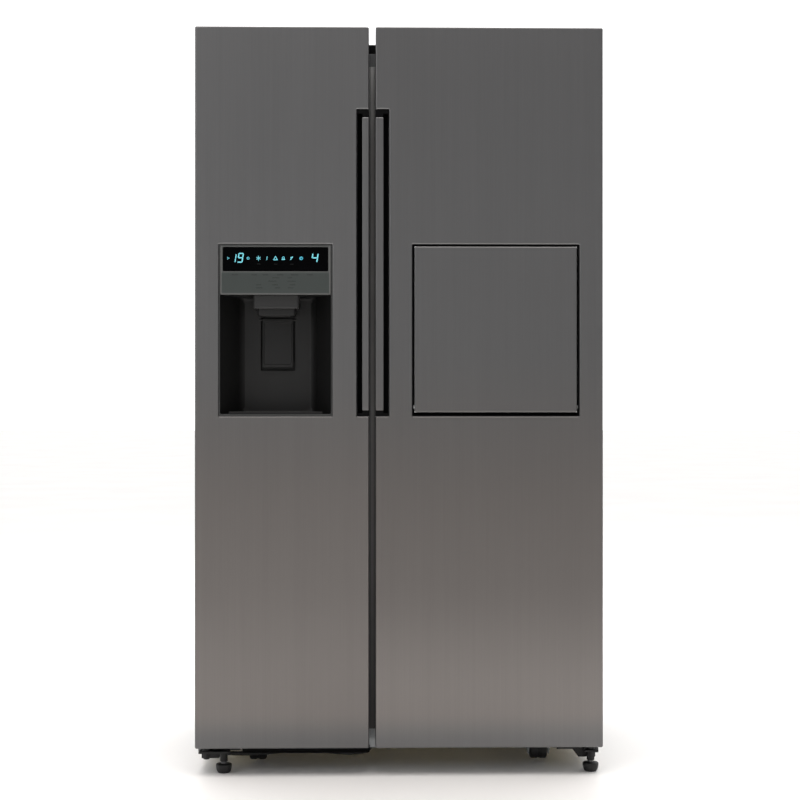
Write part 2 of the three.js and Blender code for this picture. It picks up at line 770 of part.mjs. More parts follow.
const freezerShelfX = grow(freezerInner, -SHELF.side);
const fridgeShelfX = grow(fridgeInner, -SHELF.side);
const drawerBack = {
  lower: stepY - LINER - DRAWER.lowerBackGap,
  upper: coverY[0] - DRAWER.upperBackGap,
};

// A drawer with a thick front whose upper edge has a finger recess.
function drawer(x, yBack, z) {
  const y = [shelfFront + DRAWER.behindShelf, yBack];
  const { half, depth, from, height } = DRAWER.grip;
  const body = tub(x, y, z, DRAWER.wall);
  const plate = block(x, [y[0], y[0] + DRAWER.front], z);
  const grip = block(
    grow([middleOf(x), middleOf(x)], half),
    [y[0] - PAST, y[0] + depth],
    [z[1] - from - height, z[1] - from],
  );
  return cut(join(body, plate), grip);
}

add(
  cabinet,
  "freezer_shelf",
  shelf(freezerShelfX, shelfBack.freezer, freezerShelfZ),
  glass,
);
add(cabinet, "crisper_cover", shelf(fridgeShelfX, shelfBack.fridge, crisperCoverZ), glass);
add(cabinet, "fridge_shelf_lower", shelf(fridgeShelfX, shelfBack.fridge, fridgeShelfZ[0]), glass);
add(cabinet, "fridge_shelf_upper", shelf(fridgeShelfX, shelfBack.fridge, fridgeShelfZ[1]), glass);

const drawers = [
  ["freezer_drawer_lower", freezerInner, drawerBack.lower, lowerDrawerZ],
  ["freezer_drawer_upper", freezerInner, drawerBack.upper, upperDrawerZ],
  ["crisper_drawer_lower", fridgeInner, drawerBack.lower, lowerDrawerZ],
  ["crisper_drawer_upper", fridgeInner, drawerBack.upper, upperDrawerZ],
];
for (const [name, inner, yBack, z] of drawers)
  add(cabinet, name, drawer(grow(inner, -DRAWER.side), yBack, z), clearPlastic);

// The ice maker hangs from the freezer's ceiling over the bucket.
const DUCT = { width: 70, depth: 34 };
const dispenserX = [left + OUTER_MARGIN, left + FREEZER_DOOR_WIDTH - INNER_MARGIN];
const dispenserMiddle = middleOf(dispenserX);
const ICE_MAKER = {
  height: 110,
  overBucket: 22,
  side: 18,
  front: 60, // behind the shelves' edges
  backGap: 30,
  gearbox: 60,
  tray: 52,
  bridge: { depth: 30, from: 40 },
  moulds: 6,
  rim: 8,
  web: 6,
  floor: 12,
};
const iceMakerBottom = bucketZ[1] + ICE_MAKER.overBucket;
const iceMakerZ = [iceMakerBottom, iceMakerBottom + ICE_MAKER.height];

function iceMaker() {
  const { side, front: start, backGap, gearbox, tray, bridge, moulds, rim, web, floor } = ICE_MAKER;
  const y = [shelfFront + start, coverY[0] - backGap];
  const x = grow(freezerInner, -side);
  const split = x[1] - gearbox;
  const pitch = (split - x[0] - 2 * rim) / moulds;
  const bridgeY = [y[1] - bridge.depth, y[1]];
  const body = join(
    block([x[0], split], y, [iceMakerBottom, iceMakerBottom + tray]),
    block([split - PAST, x[1]], y, iceMakerZ),
    block(x, bridgeY, [iceMakerBottom + bridge.from, iceMakerZ[1]]),
  );
  const pockets = repeat(moulds, (i) =>
    block(
      [x[0] + rim + i * pitch + web / 2, x[0] + rim + (i + 1) * pitch - web / 2],
      [y[0] + floor, bridgeY[0] - floor],
      [iceMakerBottom + floor, iceMakerBottom + tray + rim],
    ),
  );
  return cut(body, ...pockets);
}

function iceBucket() {
  const { wall, spoutHeight } = BUCKET;
  const x = grow(freezerInner, -DRAWER.side);
  const y = [shelfFront - DRAWER.front + 2, coverY[0] - DRAWER.front];
  const spoutX = grow([dispenserMiddle, dispenserMiddle], DUCT.width / 2);
  const spoutY = [doorBack + 2 * wall, y[0] + PAST];
  const spoutZ = [bucketBottom, bucketBottom + spoutHeight];
  const passageX = grow(spoutX, -wall);
  const passageFront = spoutY[0] + wall;
  const outlet = [
    block(passageX, [passageFront, y[0] + wall + PAST], grow(spoutZ, -wall)),
    block(passageX, [passageFront, passageFront + DUCT.depth], [
      bucketBottom - PAST,
      bucketBottom + wall + PAST,
    ]),
  ];
  return cut(join(tub(x, y, bucketZ, wall), block(spoutX, spoutY, spoutZ)), ...outlet);
}

add(cabinet, "ice_maker", iceMaker(), whitePlastic);
add(cabinet, "ice_bucket", iceBucket(), clearPlastic);

// ---------------------------------------------------------------- what both doors share

const RIM = 12; // how far the liner's edge comes forward round a door
const DIKE = { width: 18, depth: 25, fromOuter: 14.5, fromInner: 16 };
const GASKET = { width: 16, thickness: 8, fromPivot: 2, fromFree: 10 };
const GASKET_IN_Z = { below: 10, above: 22 }; // from the foam's underside, from the case's top
const BIN = { depth: 90, height: 100, wall: 3, low: 24, fromTop: 28, side: 0.5 };
const dikeZ = grow([CAVITY_BOTTOM, cavityTop], -DIKE.width);
const doorZ = [DOOR_BOTTOM, DOOR_TOP];

// side is -1 for the door hinged on the left and 1 for the one hinged on the right.
function doorFrame(side, outer, free, pocket, cavityInner) {
  const pivot = outer - side * HINGE_IN;
  const cavityOuterSide = side < 0 ? cavityInner[0] : cavityInner[1];
  const cavityFreeSide = side < 0 ? cavityInner[1] : cavityInner[0];
  return {
    side,
    outer,
    free,
    pocket,
    pivot,
    x: sorted(outer, free),
    fromFree: (distance) => free + side * distance,
    opening: sorted(outer - side * OUTER_MARGIN, free + side * INNER_MARGIN),
    dike: sorted(
      cavityOuterSide - side * DIKE.fromOuter,
      cavityFreeSide + side * DIKE.fromInner,
    ),
  };
}

const freezer = doorFrame(-1, left, gapCentre - DOOR_SPACING / 2, FREEZER_POCKET, freezerInner);
const fridge = doorFrame(1, right, gapCentre + DOOR_SPACING / 2, FRIDGE_POCKET, fridgeInner);
const fasciaZ = [sill, fasciaTop];

const POCKET_WALL = 3.5; // left standing in front of the hinge pocket

// Pocket at the top outer corner, wide enough for the arm at every opening angle.
function hingePocket(d) {
  return block(
    sorted(d.pivot - d.side * (ARM + TOP_COVER.armGap), d.outer + d.side),
    [front + POCKET_WALL, doorBack + PAST],
    [pocketFloor, DOOR_TOP + PAST],
  );
}

const POCKET = {
  depth: 34,
  wall: 2,
  floor: 3,
  slot: 12,
  barDepth: 12,
  below: 13, // from the pocket's lower end to the bar
  above: 18,
  slotPast: [6, 8], // how far the slot runs past the bar's lower and upper ends
  lip: 8, // of the edge that the fingers hook behind
};
const handleZ = [sill, DOOR_TOP - HANDLE_TOP_MARGIN];
const barZ = [handleZ[0] + POCKET.below, handleZ[1] - POCKET.above];

const handleRecess = (d) =>
  block(
    sorted(d.fromFree(-PAST), d.fromFree(d.pocket)),
    [front - PAST, front + POCKET.depth],
    handleZ,
  );

// Holes for the hinge pins, in the bottom of the door and in the floor of the pocket.
const pinBores = (d) =>
  [
    [DOOR_BOTTOM - PAST, DOOR_BOTTOM + PIN_DEPTH + RUNNING],
    [pocketFloor - PIN_DEPTH - RUNNING, pocketFloor + PAST],
  ].map((z) => rod("z", PIN_RADIUS + PIN_CLEARANCE, z, d.pivot, hingeY));

// A steel pan: the front, and a return on each of its four sides.
function doorSkin(d, ...openings) {
  const pan = cut(
    block(d.x, [front, doorBack - RIM], doorZ),
    block(grow(d.x, -SHEET), [front + SHEET, doorBack], grow(doorZ, -SHEET)),
  );
  return cut(pan, hingePocket(d), handleRecess(d), ...pinBores(d), ...openings);
}

// The foamed core with its moulded liner, whose rim shows round the door's back.
function doorCore(d, extras, openings) {
  const core = block(grow(d.x, -SHEET), [front + SHEET, doorBack], grow(doorZ, -SHEET));
  const rim = block(d.x, [doorBack - RIM, doorBack], doorZ);
  const dike = cut(
    block(d.dike, [doorBack - PAST, doorBack + DIKE.depth], dikeZ),
    block(
      grow(d.dike, -DIKE.width),
      [doorBack - 2 * PAST, doorBack + DIKE.depth + PAST],
      grow(dikeZ, -DIKE.width),
    ),
  );
  return cut(
    join(core, rim, dike, ...extras),
    hingePocket(d),
    handleRecess(d),
    ...pinBores(d),
    ...openings,
  );
}

function gasket(d) {
  const x = sorted(
    d.pivot - d.side * GASKET.fromPivot,
    d.free + d.side * GASKET.fromFree,
  );
  const z = [FOAM_BOTTOM + GASKET_IN_Z.below, caseTop - GASKET_IN_Z.above];
  const y = [doorBack, doorBack + GASKET.thickness];
  const { width } = GASKET;
  return cut(block(x, y, z), block(grow(x, -width), grow(y, PAST), grow(z, -width)));
}

// A black channel. Behind the bar it widens toward the door's edge, so fingers can hook in.
function handlePocket(d) {
  const depth = front + POCKET.depth - CONTACT;
  const envelope = block(
    sorted(d.fromFree(0), d.fromFree(d.pocket - CONTACT)),
    [front + SHEET, depth],
    grow(handleZ, -CONTACT),
  );
  const slotEdge = d.pocket - POCKET.slot;
  const wallEdge = d.pocket - POCKET.wall;
  const barSeat = block(
    sorted(d.fromFree(-PAST), d.fromFree(slotEdge)),
    [front - PAST, front + POCKET.barDepth],
    barZ,
  );
  const slot = block(
    sorted(d.fromFree(slotEdge - PAST), d.fromFree(wallEdge)),
    [front - PAST, depth - POCKET.floor],
    [barZ[0] - POCKET.slotPast[0], barZ[1] + POCKET.slotPast[1]],
  );
  const undercut = block(
    sorted(d.fromFree(POCKET.lip), d.fromFree(wallEdge)),
    [front + POCKET.barDepth + POCKET.wall, depth - POCKET.floor],
    barZ,
  );
  return cut(envelope, barSeat, slot, undercut);
}

const handleBar = (d) =>
  block(
    sorted(d.fromFree(0), d.fromFree(d.pocket - POCKET.slot)),
    [front, front + POCKET.barDepth - CONTACT],
    grow(barZ, -CONTACT),
  );

// Bins hang between the dikes.
const binX = (d) => grow(d.dike, -DIKE.width - BIN.side);
const doorBin = (d, low) =>
  tub(binX(d), [doorBack + CONTACT, doorBack + BIN.depth], [low, low + BIN.height], BIN.wall);
const lowBinZ = dikeZ[0] + DIKE.width + BIN.low;
const topBinZ = dikeZ[1] - DIKE.width - BIN.fromTop - BIN.height;

// ---------------------------------------------------------------- freezer door and dispenser

const CAVITY = {
  depth: 95,
  backWidth: 172,
  wall: 4, // of the housing beside the cavity
  behind: 13, // from the cavity's back to the back of the housing
  straight: 12, // depth of the straight part at the front
  ceiling: fasciaTop - 116,
  floor: sill + 5,
  edge: 2.5,
};
const BULGE = { underSpout: 7, below: 14, wall: 4 }; // the liner swells round the housing
const housingBack = front + CAVITY.depth + CAVITY.behind;
const bulge = block(
  freezer.dike,
  [doorBack - PAST, housingBack + BULGE.wall],
  [sill - BULGE.below, bucketBottom - BULGE.underSpout],
);

// A plan that is straight at the front and narrows to the back.
function dispenserPlan([x0, x1], straight, half, rear) {
  return [
    [x0, front - PAST],
    [x1, front - PAST],
    [x1, front + straight],
    [dispenserMiddle + half, rear],
    [dispenserMiddle - half, rear],
    [x0, front + straight],
  ];
}

const housingHalf = CAVITY.backWidth / 2 + CAVITY.wall;
const housingStraight = CAVITY.straight - 2;
const housingPlan = (grownBy, rear) =>
  dispenserPlan(grow(freezer.opening, grownBy), housingStraight, housingHalf + grownBy, rear);
const dispenserOpening = planPrism(housingPlan(0, housingBack + CONTACT), fasciaZ);
const aroundMiddle = (half) => grow([dispenserMiddle, dispenserMiddle], half);
const ductBack = housingBack - 5;
const duct = (z) => block(aroundMiddle(DUCT.width / 2), [ductBack - DUCT.depth, ductBack], z);

const PANEL_DEPTH = 9;
const FASCIA_RIM = 2; // of the housing over the control panel
const PADDLE = {
  width: 73,
  height: 116.5,
  thickness: 5,
  pin: 3,
  pinClearance: 0.4,
  pinReach: 3.5, // past the recess, into its walls
  gap: 4,
  below: 6,
  behind: 2,
  lean: 0.06,
  underCeiling: 51,
};
const paddleTop = CAVITY.ceiling - PADDLE.underCeiling;
const cavityBackY = front + CAVITY.depth;
const paddlePivot = [cavityBackY + 1, paddleTop - PADDLE.pin];

function dispenserHousing() {
  const outer = planPrism(
    housingPlan(-CONTACT, housingBack).map(([x, y]) => [x, Math.max(y, front + SHEET)]),
    grow(fasciaZ, -CONTACT),
  );
  const inside = grow(freezer.opening, -CAVITY.edge);
  const cavity = planPrism(
    dispenserPlan(inside, CAVITY.straight, CAVITY.backWidth / 2, cavityBackY),
    [CAVITY.floor, CAVITY.ceiling],
  );
  const panelSeat = block(
    inside,
    [front - PAST, front + PANEL_DEPTH + CONTACT],
    [CAVITY.ceiling - PAST, fasciaTop - FASCIA_RIM],
  );
  const recessHalf = PADDLE.width / 2 + PADDLE.gap;
  const paddleRecess = block(
    aroundMiddle(recessHalf),
    [cavityBackY - PAST, housingBack - PADDLE.behind],
    [paddleTop - PADDLE.height - PADDLE.below, paddleTop + PADDLE.gap],
  );
  const boreX = aroundMiddle(recessHalf + PADDLE.pinReach + RUNNING);
  const bore = rod("x", PADDLE.pin + PADDLE.pinClearance, boreX, ...paddlePivot, 16);
  const ductEnd = duct([CAVITY.ceiling - PAST, fasciaTop]);
  return cut(outer, cavity, panelSeat, paddleRecess, bore, ductEnd);
}

const PANEL_INSET = 2; // from the door front to the control panel
const DISPLAY = { height: 56, above: 4, sides: 6, depth: 3.5, sunk: 0.5 };
const panelFront = front + PANEL_INSET;
const panelX = grow(freezer.opening, -CAVITY.edge - CONTACT);
const panelZ = [CAVITY.ceiling, fasciaTop - FASCIA_RIM - CONTACT];
const displayTop = panelZ[1] - DISPLAY.above;
const displayX = grow(panelX, -DISPLAY.sides);
const displayZ = [displayTop - DISPLAY.height, displayTop];

const controlPanel = () =>
  cut(
    block(panelX, [panelFront, front + PANEL_DEPTH], panelZ),
    block(displayX, [panelFront - PAST, panelFront + DISPLAY.depth], displayZ),
  );

const displayWindow = () =>
  block(
    grow(displayX, -CONTACT),
    [panelFront + DISPLAY.sunk, panelFront + DISPLAY.depth - CONTACT],
    grow(displayZ, -CONTACT),
  );

// The ice chute hangs from the cavity's ceiling in two tiers round the end of the duct.
const CHUTE = {
  upper: { half: 53, start: 26, drop: 30 },
  lower: { half: 44, start: 38, drop: 46 },
  behind: 2, // left free in front of the cavity's back
  wall: 4,
  mouth: 22,
};

function iceChute() {
  const { upper, lower, behind, wall, mouth } = CHUTE;
  const ceiling = CAVITY.ceiling - CONTACT;
  const rear = cavityBackY - behind;
  const upperY = [front + upper.start, rear];
  const lowerY = [front + lower.start, rear];
  const passageY = [rear - wall - mouth, rear - wall];
  return cut(
    join(
      block(aroundMiddle(upper.half), upperY, [ceiling - upper.drop, ceiling]),
      block(aroundMiddle(lower.half), lowerY, [ceiling - lower.drop, ceiling - upper.drop + PAST]),
    ),
    block(aroundMiddle(DUCT.width / 2 - wall), passageY, [
      ceiling - lower.drop - PAST,
      ceiling + PAST,
    ]),
  );
}

// The paddle hangs on its pin and leans out a little at its foot.
function paddle() {
  const plate = block(
    [-PADDLE.width / 2, PADDLE.width / 2],
    [-PADDLE.thickness, 0],
    [-PADDLE.height + PADDLE.pin, PADDLE.pin],
  );
  const reach = PADDLE.width / 2 + PADDLE.gap + PADDLE.pinReach;
  const pin = rod("x", PADDLE.pin, [-reach, reach], 0, 0, 16);
  return join(plate, pin);
}

const TRAY = {
  height: 6,
  frontHalf: 108,
  backHalf: 78,
  start: 8, // behind the door front
  backGap: 6,
  floor: 2,
  slots: { count: 9, half: 66, first: 18, pitch: 7.5, width: 3.5 },
};

// A trapezoid tray with drain slots, in the floor of the cavity.
function dripTray() {
  const z = [CAVITY.floor + CONTACT, CAVITY.floor + TRAY.height];
  const trayBack = cavityBackY - TRAY.backGap;
  const tray = planPrism(
    [
      [dispenserMiddle - TRAY.frontHalf, front + TRAY.start],
      [dispenserMiddle + TRAY.frontHalf, front + TRAY.start],
      [dispenserMiddle + TRAY.backHalf, trayBack],
      [dispenserMiddle - TRAY.backHalf, trayBack],
    ],
    z,
  );
  const { count, half, first, pitch, width } = TRAY.slots;
  const slots = repeat(count, (i) => {
    const start = front + first + i * pitch;
    return block(aroundMiddle(half), [start, start + width], [z[0] + TRAY.floor, z[1] + PAST]);
  });
  return cut(tray, ...slots);
}

const freezerFrontOpening = block(freezer.opening, grow([front, front + SHEET], PAST), fasciaZ);
add(freezerDoor, "freezer_door_skin", doorSkin(freezer, freezerFrontOpening), steel);
add(
  freezerDoor,
  "freezer_door_liner",
  doorCore(freezer, [bulge], [dispenserOpening, duct([CAVITY.ceiling, bucketBottom])]),
  whitePlastic,
);
add(freezerDoor, "freezer_door_gasket", gasket(freezer), rubber);
add(freezerDoor, "freezer_handle_pocket", handlePocket(freezer), blackPlastic);
add(freezerDoor, "freezer_handle_bar", handleBar(freezer), steel);
add(freezerDoor, "dispenser_housing", dispenserHousing(), blackPlastic);
add(freezerDoor, "control_panel", controlPanel(), greyPlastic);
add(freezerDoor, "display_window", displayWindow(), darkGlass);
add(freezerDoor, "ice_chute", iceChute(), greyPlastic);
const paddleMesh = add(freezerDoor, "dispenser_paddle", paddle(), blackPlastic);
paddleMesh.position.set(dispenserMiddle, ...paddlePivot);
paddleMesh.rotation.x = -PADDLE.lean; // its foot leans out a little
add(freezerDoor, "drip_tray", dripTray(), greyPlastic);
add(freezerDoor, "freezer_bin_lower", doorBin(freezer, lowBinZ), clearPlastic);
add(freezerDoor, "freezer_bin_upper", doorBin(freezer, topBinZ), clearPlastic);

// ---------------------------------------------------------------- fridge door and home bar

const BAR = {
  sideGap: 5, // black line round the flap
  topGap: 4.5,
  bottomGap: 9,
  wall: 2,
  flap: 30, // flap thickness
  face: 1.5, // its steel front
  pivotBack: 12, // pivot of the flap, from the door front and from the opening's lower edge
  pivotUp: 21.5,
  seatGap: 5,
  seatBack: 48, // from the door front to the back of the seat
  inset: 37.5, // from the opening's sides to the way through the door
  foot: 36, // from the opening's lower edge to the same
  sleeve: 6,
  pin: 4,
  pinClearance: 0.4,
  plug: { side: 4, end: 6, depth: 9 },
  dish: { side: 16, end: 18, depth: 8 },
  box: 94, // depth of the compartment behind the way through
};
const barX = fridge.opening;
const throughX = grow(barX, -BAR.inset);
const throughZ = [sill + BAR.foot, fasciaTop - BAR.foot];
const flapX = grow(barX, -BAR.sideGap);
const flapZ = [sill + BAR.bottomGap, fasciaTop - BAR.topGap];
const flapPivot = [front + BAR.pivotBack, sill + BAR.pivotUp];
const seatY = [front + BAR.flap + BAR.seatGap, front + BAR.seatBack];
const latchMiddle = middleOf(barX);
const LATCH = { half: 12, above: 12, height: 12, out: 3.5, travel: 4, short: 2 };
const latchBottom = throughZ[1] + LATCH.above;
const latchZ = [latchBottom, latchBottom + LATCH.height];
const LATCH_FIT = { frame: 0.5, foam: 0.8 };

const latchBore = (grownBy, y) =>
  block(grow([latchMiddle, latchMiddle], LATCH.half + grownBy), y, grow(latchZ, grownBy));

// A black moulding that lines the opening: a thin wall round the flap, a seat behind it,
// and a sleeve through to the back of the door.
function homebarFrame() {
  const wallOuter = grow(barX, -CONTACT);
  const zOuter = grow(fasciaZ, -CONTACT);
  const wall = cut(
    block(wallOuter, [front + SHEET, seatY[1]], zOuter),
    block(
      grow(barX, -BAR.wall),
      [front - PAST, seatY[0]],
      [sill + BAR.wall + PAST, fasciaTop - BAR.wall],
    ),
  );
  const sleeve = block(
    grow(throughX, BAR.sleeve),
    [seatY[1] - PAST, doorBack - CONTACT],
    grow(throughZ, BAR.sleeve),
  );
  const through = block(throughX, [front, doorBack + PAST], throughZ);
  const pinBore = rod("x", BAR.pin + BAR.pinClearance, grow(barX, PAST), ...flapPivot, 16);
  const latchHole = latchBore(LATCH_FIT.frame, [front, doorBack]);
  return cut(join(wall, sleeve), through, pinBore, latchHole);
}

// The compartment behind the home bar. It is open toward the way through the door.
const boxSpace = (grownBy) =>
  block(
    grow(throughX, BAR.sleeve + BIN.wall + grownBy),
    [doorBack + CONTACT - grownBy, doorBack + BAR.box],
    grow(throughZ, BAR.sleeve + BIN.wall + grownBy),
  );

const homebarBox = () =>
  cut(
    boxSpace(0),
    block(
      grow(throughX, BAR.sleeve),
      [doorBack - PAST, doorBack + BAR.box - BIN.wall],
      grow(throughZ, BAR.sleeve),
    ),
  );

const flapFace = () => block(flapX, [front, front + BAR.face], flapZ);

// The flap's inner moulding carries the pivot pins and a plug that enters the way through.
function flapInner() {
  const y = [front + BAR.face, front + BAR.flap];
  const { plug: end, dish: hollow } = BAR;
  const body = block(flapX, y, flapZ);
  const plug = block(
    grow(throughX, -end.side),
    [y[1] - PAST, y[1] + end.depth],
    grow(throughZ, -end.end),
  );
  const dish = block(
    grow(throughX, -hollow.side),
    [y[1] - hollow.depth, y[1] + end.depth + PAST],
    grow(throughZ, -hollow.end),
  );
  const pins = rod("x", BAR.pin, grow(flapX, BAR.sideGap - CONTACT), ...flapPivot, 16);
  return join(cut(join(body, plug), dish), pins);
}

const fridgeOpening = block(barX, [front - PAST, seatY[1] + CONTACT], fasciaZ);
const fridgeThrough = block(
  grow(throughX, BAR.sleeve + CONTACT),
  [front, doorBack + PAST],
  grow(throughZ, BAR.sleeve + CONTACT),
);
add(fridgeDoor, "fridge_door_skin", doorSkin(fridge, fridgeOpening), steel);
add(
  fridgeDoor,
  "fridge_door_liner",
  doorCore(fridge, [], [
    fridgeOpening,
    fridgeThrough,
    boxSpace(CONTACT),
    latchBore(LATCH_FIT.foam, [front, seatY[1] + LATCH.travel + LATCH.short]),
  ]),
  whitePlastic,
);
add(fridgeDoor, "fridge_door_gasket", gasket(fridge), rubber);
add(fridgeDoor, "fridge_handle_pocket", handlePocket(fridge), blackPlastic);
add(fridgeDoor, "fridge_handle_bar", handleBar(fridge), steel);
add(fridgeDoor, "homebar_frame", homebarFrame(), blackPlastic);
add(fridgeDoor, "homebar_box", homebarBox(), clearPlastic);
add(fridgeDoor, "homebar_flap_face", flapFace(), steel);
add(fridgeDoor, "homebar_flap_inner", flapInner(), whitePlastic);
add(
  fridgeDoor,
  "homebar_latch",
  latchBore(0, [seatY[0] - LATCH.out, seatY[1] - LATCH.short]),
  greyPlastic,
);
add(fridgeDoor, "fridge_bin_lower", doorBin(fridge, lowBinZ), clearPlastic);
add(fridgeDoor, "fridge_bin_upper", doorBin(fridge, topBinZ), clearPlastic);

export default appliance;
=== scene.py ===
import math
import random

import bmesh
import bpy
from mathutils import Matrix, Vector


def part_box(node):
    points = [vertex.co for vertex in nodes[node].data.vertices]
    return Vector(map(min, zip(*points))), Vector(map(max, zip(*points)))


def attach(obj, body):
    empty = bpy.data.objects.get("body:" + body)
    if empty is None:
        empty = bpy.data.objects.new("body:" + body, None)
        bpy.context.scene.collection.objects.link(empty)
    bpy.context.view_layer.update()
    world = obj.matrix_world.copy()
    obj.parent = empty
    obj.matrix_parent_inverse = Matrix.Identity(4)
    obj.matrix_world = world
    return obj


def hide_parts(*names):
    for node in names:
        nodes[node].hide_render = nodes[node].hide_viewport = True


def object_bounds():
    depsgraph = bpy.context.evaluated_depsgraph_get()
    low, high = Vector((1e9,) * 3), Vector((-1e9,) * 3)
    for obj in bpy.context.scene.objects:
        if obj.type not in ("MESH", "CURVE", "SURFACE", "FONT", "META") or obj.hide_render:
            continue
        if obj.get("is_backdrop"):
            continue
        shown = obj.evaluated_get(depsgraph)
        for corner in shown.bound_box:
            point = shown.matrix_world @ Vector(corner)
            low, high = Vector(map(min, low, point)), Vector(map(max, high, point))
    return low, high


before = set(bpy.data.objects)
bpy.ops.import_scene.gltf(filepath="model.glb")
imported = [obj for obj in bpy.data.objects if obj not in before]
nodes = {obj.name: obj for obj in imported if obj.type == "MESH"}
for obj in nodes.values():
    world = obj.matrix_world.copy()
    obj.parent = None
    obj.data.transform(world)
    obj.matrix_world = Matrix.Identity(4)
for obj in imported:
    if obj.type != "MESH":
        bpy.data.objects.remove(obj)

cad_low, cad_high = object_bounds()

# ---------------------------------------------------------------------------------------
# The studio: a plain pale floor, a wide soft lamp overhead, softer ones from the front left
# and from behind, and a white surround that is dimmer on the side the doors face. The
# camera stands at about half the doors' height, a little to the left of their middle.

MM = 0.001  # in metres: every piece below is drawn in millimetres
EYE_HEIGHT = 0.8667  # the camera's numbers are in metres
CAMERA_X = -0.062
CAMERA_AIM = 0.0014  # the place across the doors that it looks at
CAMERA_DISTANCE = 3.5  # from the doors
LENS = 68.44
FLOOR_HALF = 40000
DIM_SURROUND = (0.30, 0.30, 0.305)
BRIGHT_SURROUND = (1.75, 1.75, 1.75)


class Wire:
    """One socket of a node tree. Arithmetic on it adds Math nodes, so 1 - mask * 0.5 works."""

    def __init__(self, tree, socket=None):
        self.tree = tree
        self.socket = socket

    def add(self, kind, settings=None, values=None, out=0):
        """A new node of that type; its settings are made first, then its values and links."""
        node = self.tree.nodes.new("ShaderNode" + kind)
        for name, value in (settings or {}).items():
            setattr(node, name, value)
        for name, value in (values or {}).items():
            if isinstance(value, Wire):
                self.tree.links.new(value.socket, node.inputs[name])
            else:
                node.inputs[name].default_value = value
        return Wire(self.tree, node.outputs[out])

    def math(self, operation, *terms):
        return self.add("Math", {"operation": operation}, dict(enumerate(terms)))

    def __add__(self, other):
        return self.math("ADD", self, other)

    def __sub__(self, other):
        return self.math("SUBTRACT", self, other)

    def __rsub__(self, other):
        return self.math("SUBTRACT", other, self)

    def __mul__(self, other):
        return self.math("MULTIPLY", self, other)

    def __lt__(self, other):
        return self.math("LESS_THAN", self, other)

    __radd__ = __add__
    __rmul__ = __mul__

    def between(self, low, high):
        """Runs smoothly from 0 at low to 1 at high."""
        span = {"From Min": low, "From Max": high}
        return self.add("MapRange", {"interpolation_type": "SMOOTHSTEP"}, {"Value": self, **span})

    def blend(self, first, second):
        """The first colour where this is 0, and the second where it is 1."""
        ends = [c if isinstance(c, Wire) else (*c, 1.0) for c in (first, second)]
        values = {0: self, 6: ends[0], 7: ends[1]}
        return self.add("Mix", {"data_type": "RGBA"}, values, out=2)

    def place(self):
        """Where a point is on the appliance, in metres."""
        return self.add("TexCoord", out=3)

    def facing(self):
        """Which way the surface faces."""
        return self.add("TexCoord", out=1)

    def size(self):
        return self.math("ABSOLUTE", self)

    def wave(self):
        return self.math("SINE", self)

    def split(self):
        apart = self.add("SeparateXYZ", None, {0: self})
        outputs = apart.socket.node.outputs
        return [Wire(self.tree, outputs[i]) for i in range(3)]

    def stretched(self, x, y, z):
        return self.add("VectorMath", {"operation": "MULTIPLY"}, {0: self, 1: (x, y, z)})

    def noise(self, scale, detail=2.0, roughness=0.5):
        """Even noise from 0 to 1 at this place, with scale in bumps to the metre."""
        values = {"Vector": self, "Scale": scale, "Detail": detail, "Roughness": roughness}
        return self.add("TexNoise", None, values)

    def bump(self, distance, strength=1.0):
        values = {"Height": self, "Distance": distance, "Strength": strength}
        return self.add("Bump", None, values)


def finish(name, recipe, **fixed):
    """A material whose shader takes the fixed numbers and whatever recipe(wire) returns."""
    material = bpy.data.materials.new(name)
    material.use_nodes = True
    shader = material.node_tree.nodes["Principled BSDF"]
    settings = dict(fixed)
    settings.update(recipe(Wire(material.node_tree)))
    for key, value in settings.items():
        socket = shader.inputs[key.replace("_", " ").title().replace("Ior", "IOR")]
        if isinstance(value, Wire):
            material.node_tree.links.new(value.socket, socket)
        elif isinstance(value, tuple):
            socket.default_value = (*value, 1.0)
        else:
            socket.default_value = value
    return material


def colour(red, green, blue):
    """A screen colour of 0 to 255 as the linear values that a shader takes."""
    shares = (red / 255, green / 255, blue / 255)
    return tuple(s / 12.92 if s <= 0.04045 else ((s + 0.055) / 1.055) ** 2.4 for s in shares)


def show(name, bm, *materials, sharp=35):
    """The bmesh, drawn in millimetres, as a smooth object with its sharp edges marked."""
    bm.transform(Matrix.Scale(MM, 4))
    mesh = bpy.data.meshes.new(name)
    for face in bm.faces:
        face.smooth = True
    bm.to_mesh(mesh)
    bm.free()
    mesh.set_sharp_from_angle(angle=math.radians(sharp))
    for material in materials:
        mesh.materials.append(material)
    piece = bpy.data.objects.new(name, mesh)
    bpy.context.scene.collection.objects.link(piece)
    return piece


def floor_finish(wire):
    cloud = wire.place().noise(1.5, detail=3.0)
    speck = wire.place().noise(180.0)
    tone = cloud.between(0.3, 0.7).blend(colour(249, 247, 245), colour(252, 251, 249))
    return {"Base Color": tone, "Roughness": 0.55 + 0.1 * speck}


floor_mesh = bmesh.new()
bmesh.ops.create_grid(floor_mesh, x_segments=8, y_segments=8, size=FLOOR_HALF)
floor = show("studio_floor", floor_mesh, finish("pale floor", floor_finish))
floor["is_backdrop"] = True

scene = bpy.context.scene
scene.view_settings.view_transform = "Standard"
world = bpy.data.worlds.new("white surround")
scene.world = world
world.use_nodes = True
sky = Wire(world.node_tree)
behind = sky.add("TexCoord").split()[1].between(-0.35, 0.55)
surround = behind.blend(DIM_SURROUND, BRIGHT_SURROUND)
background = world.node_tree.nodes["Background"]
world.node_tree.links.new(surround.socket, background.inputs["Color"])


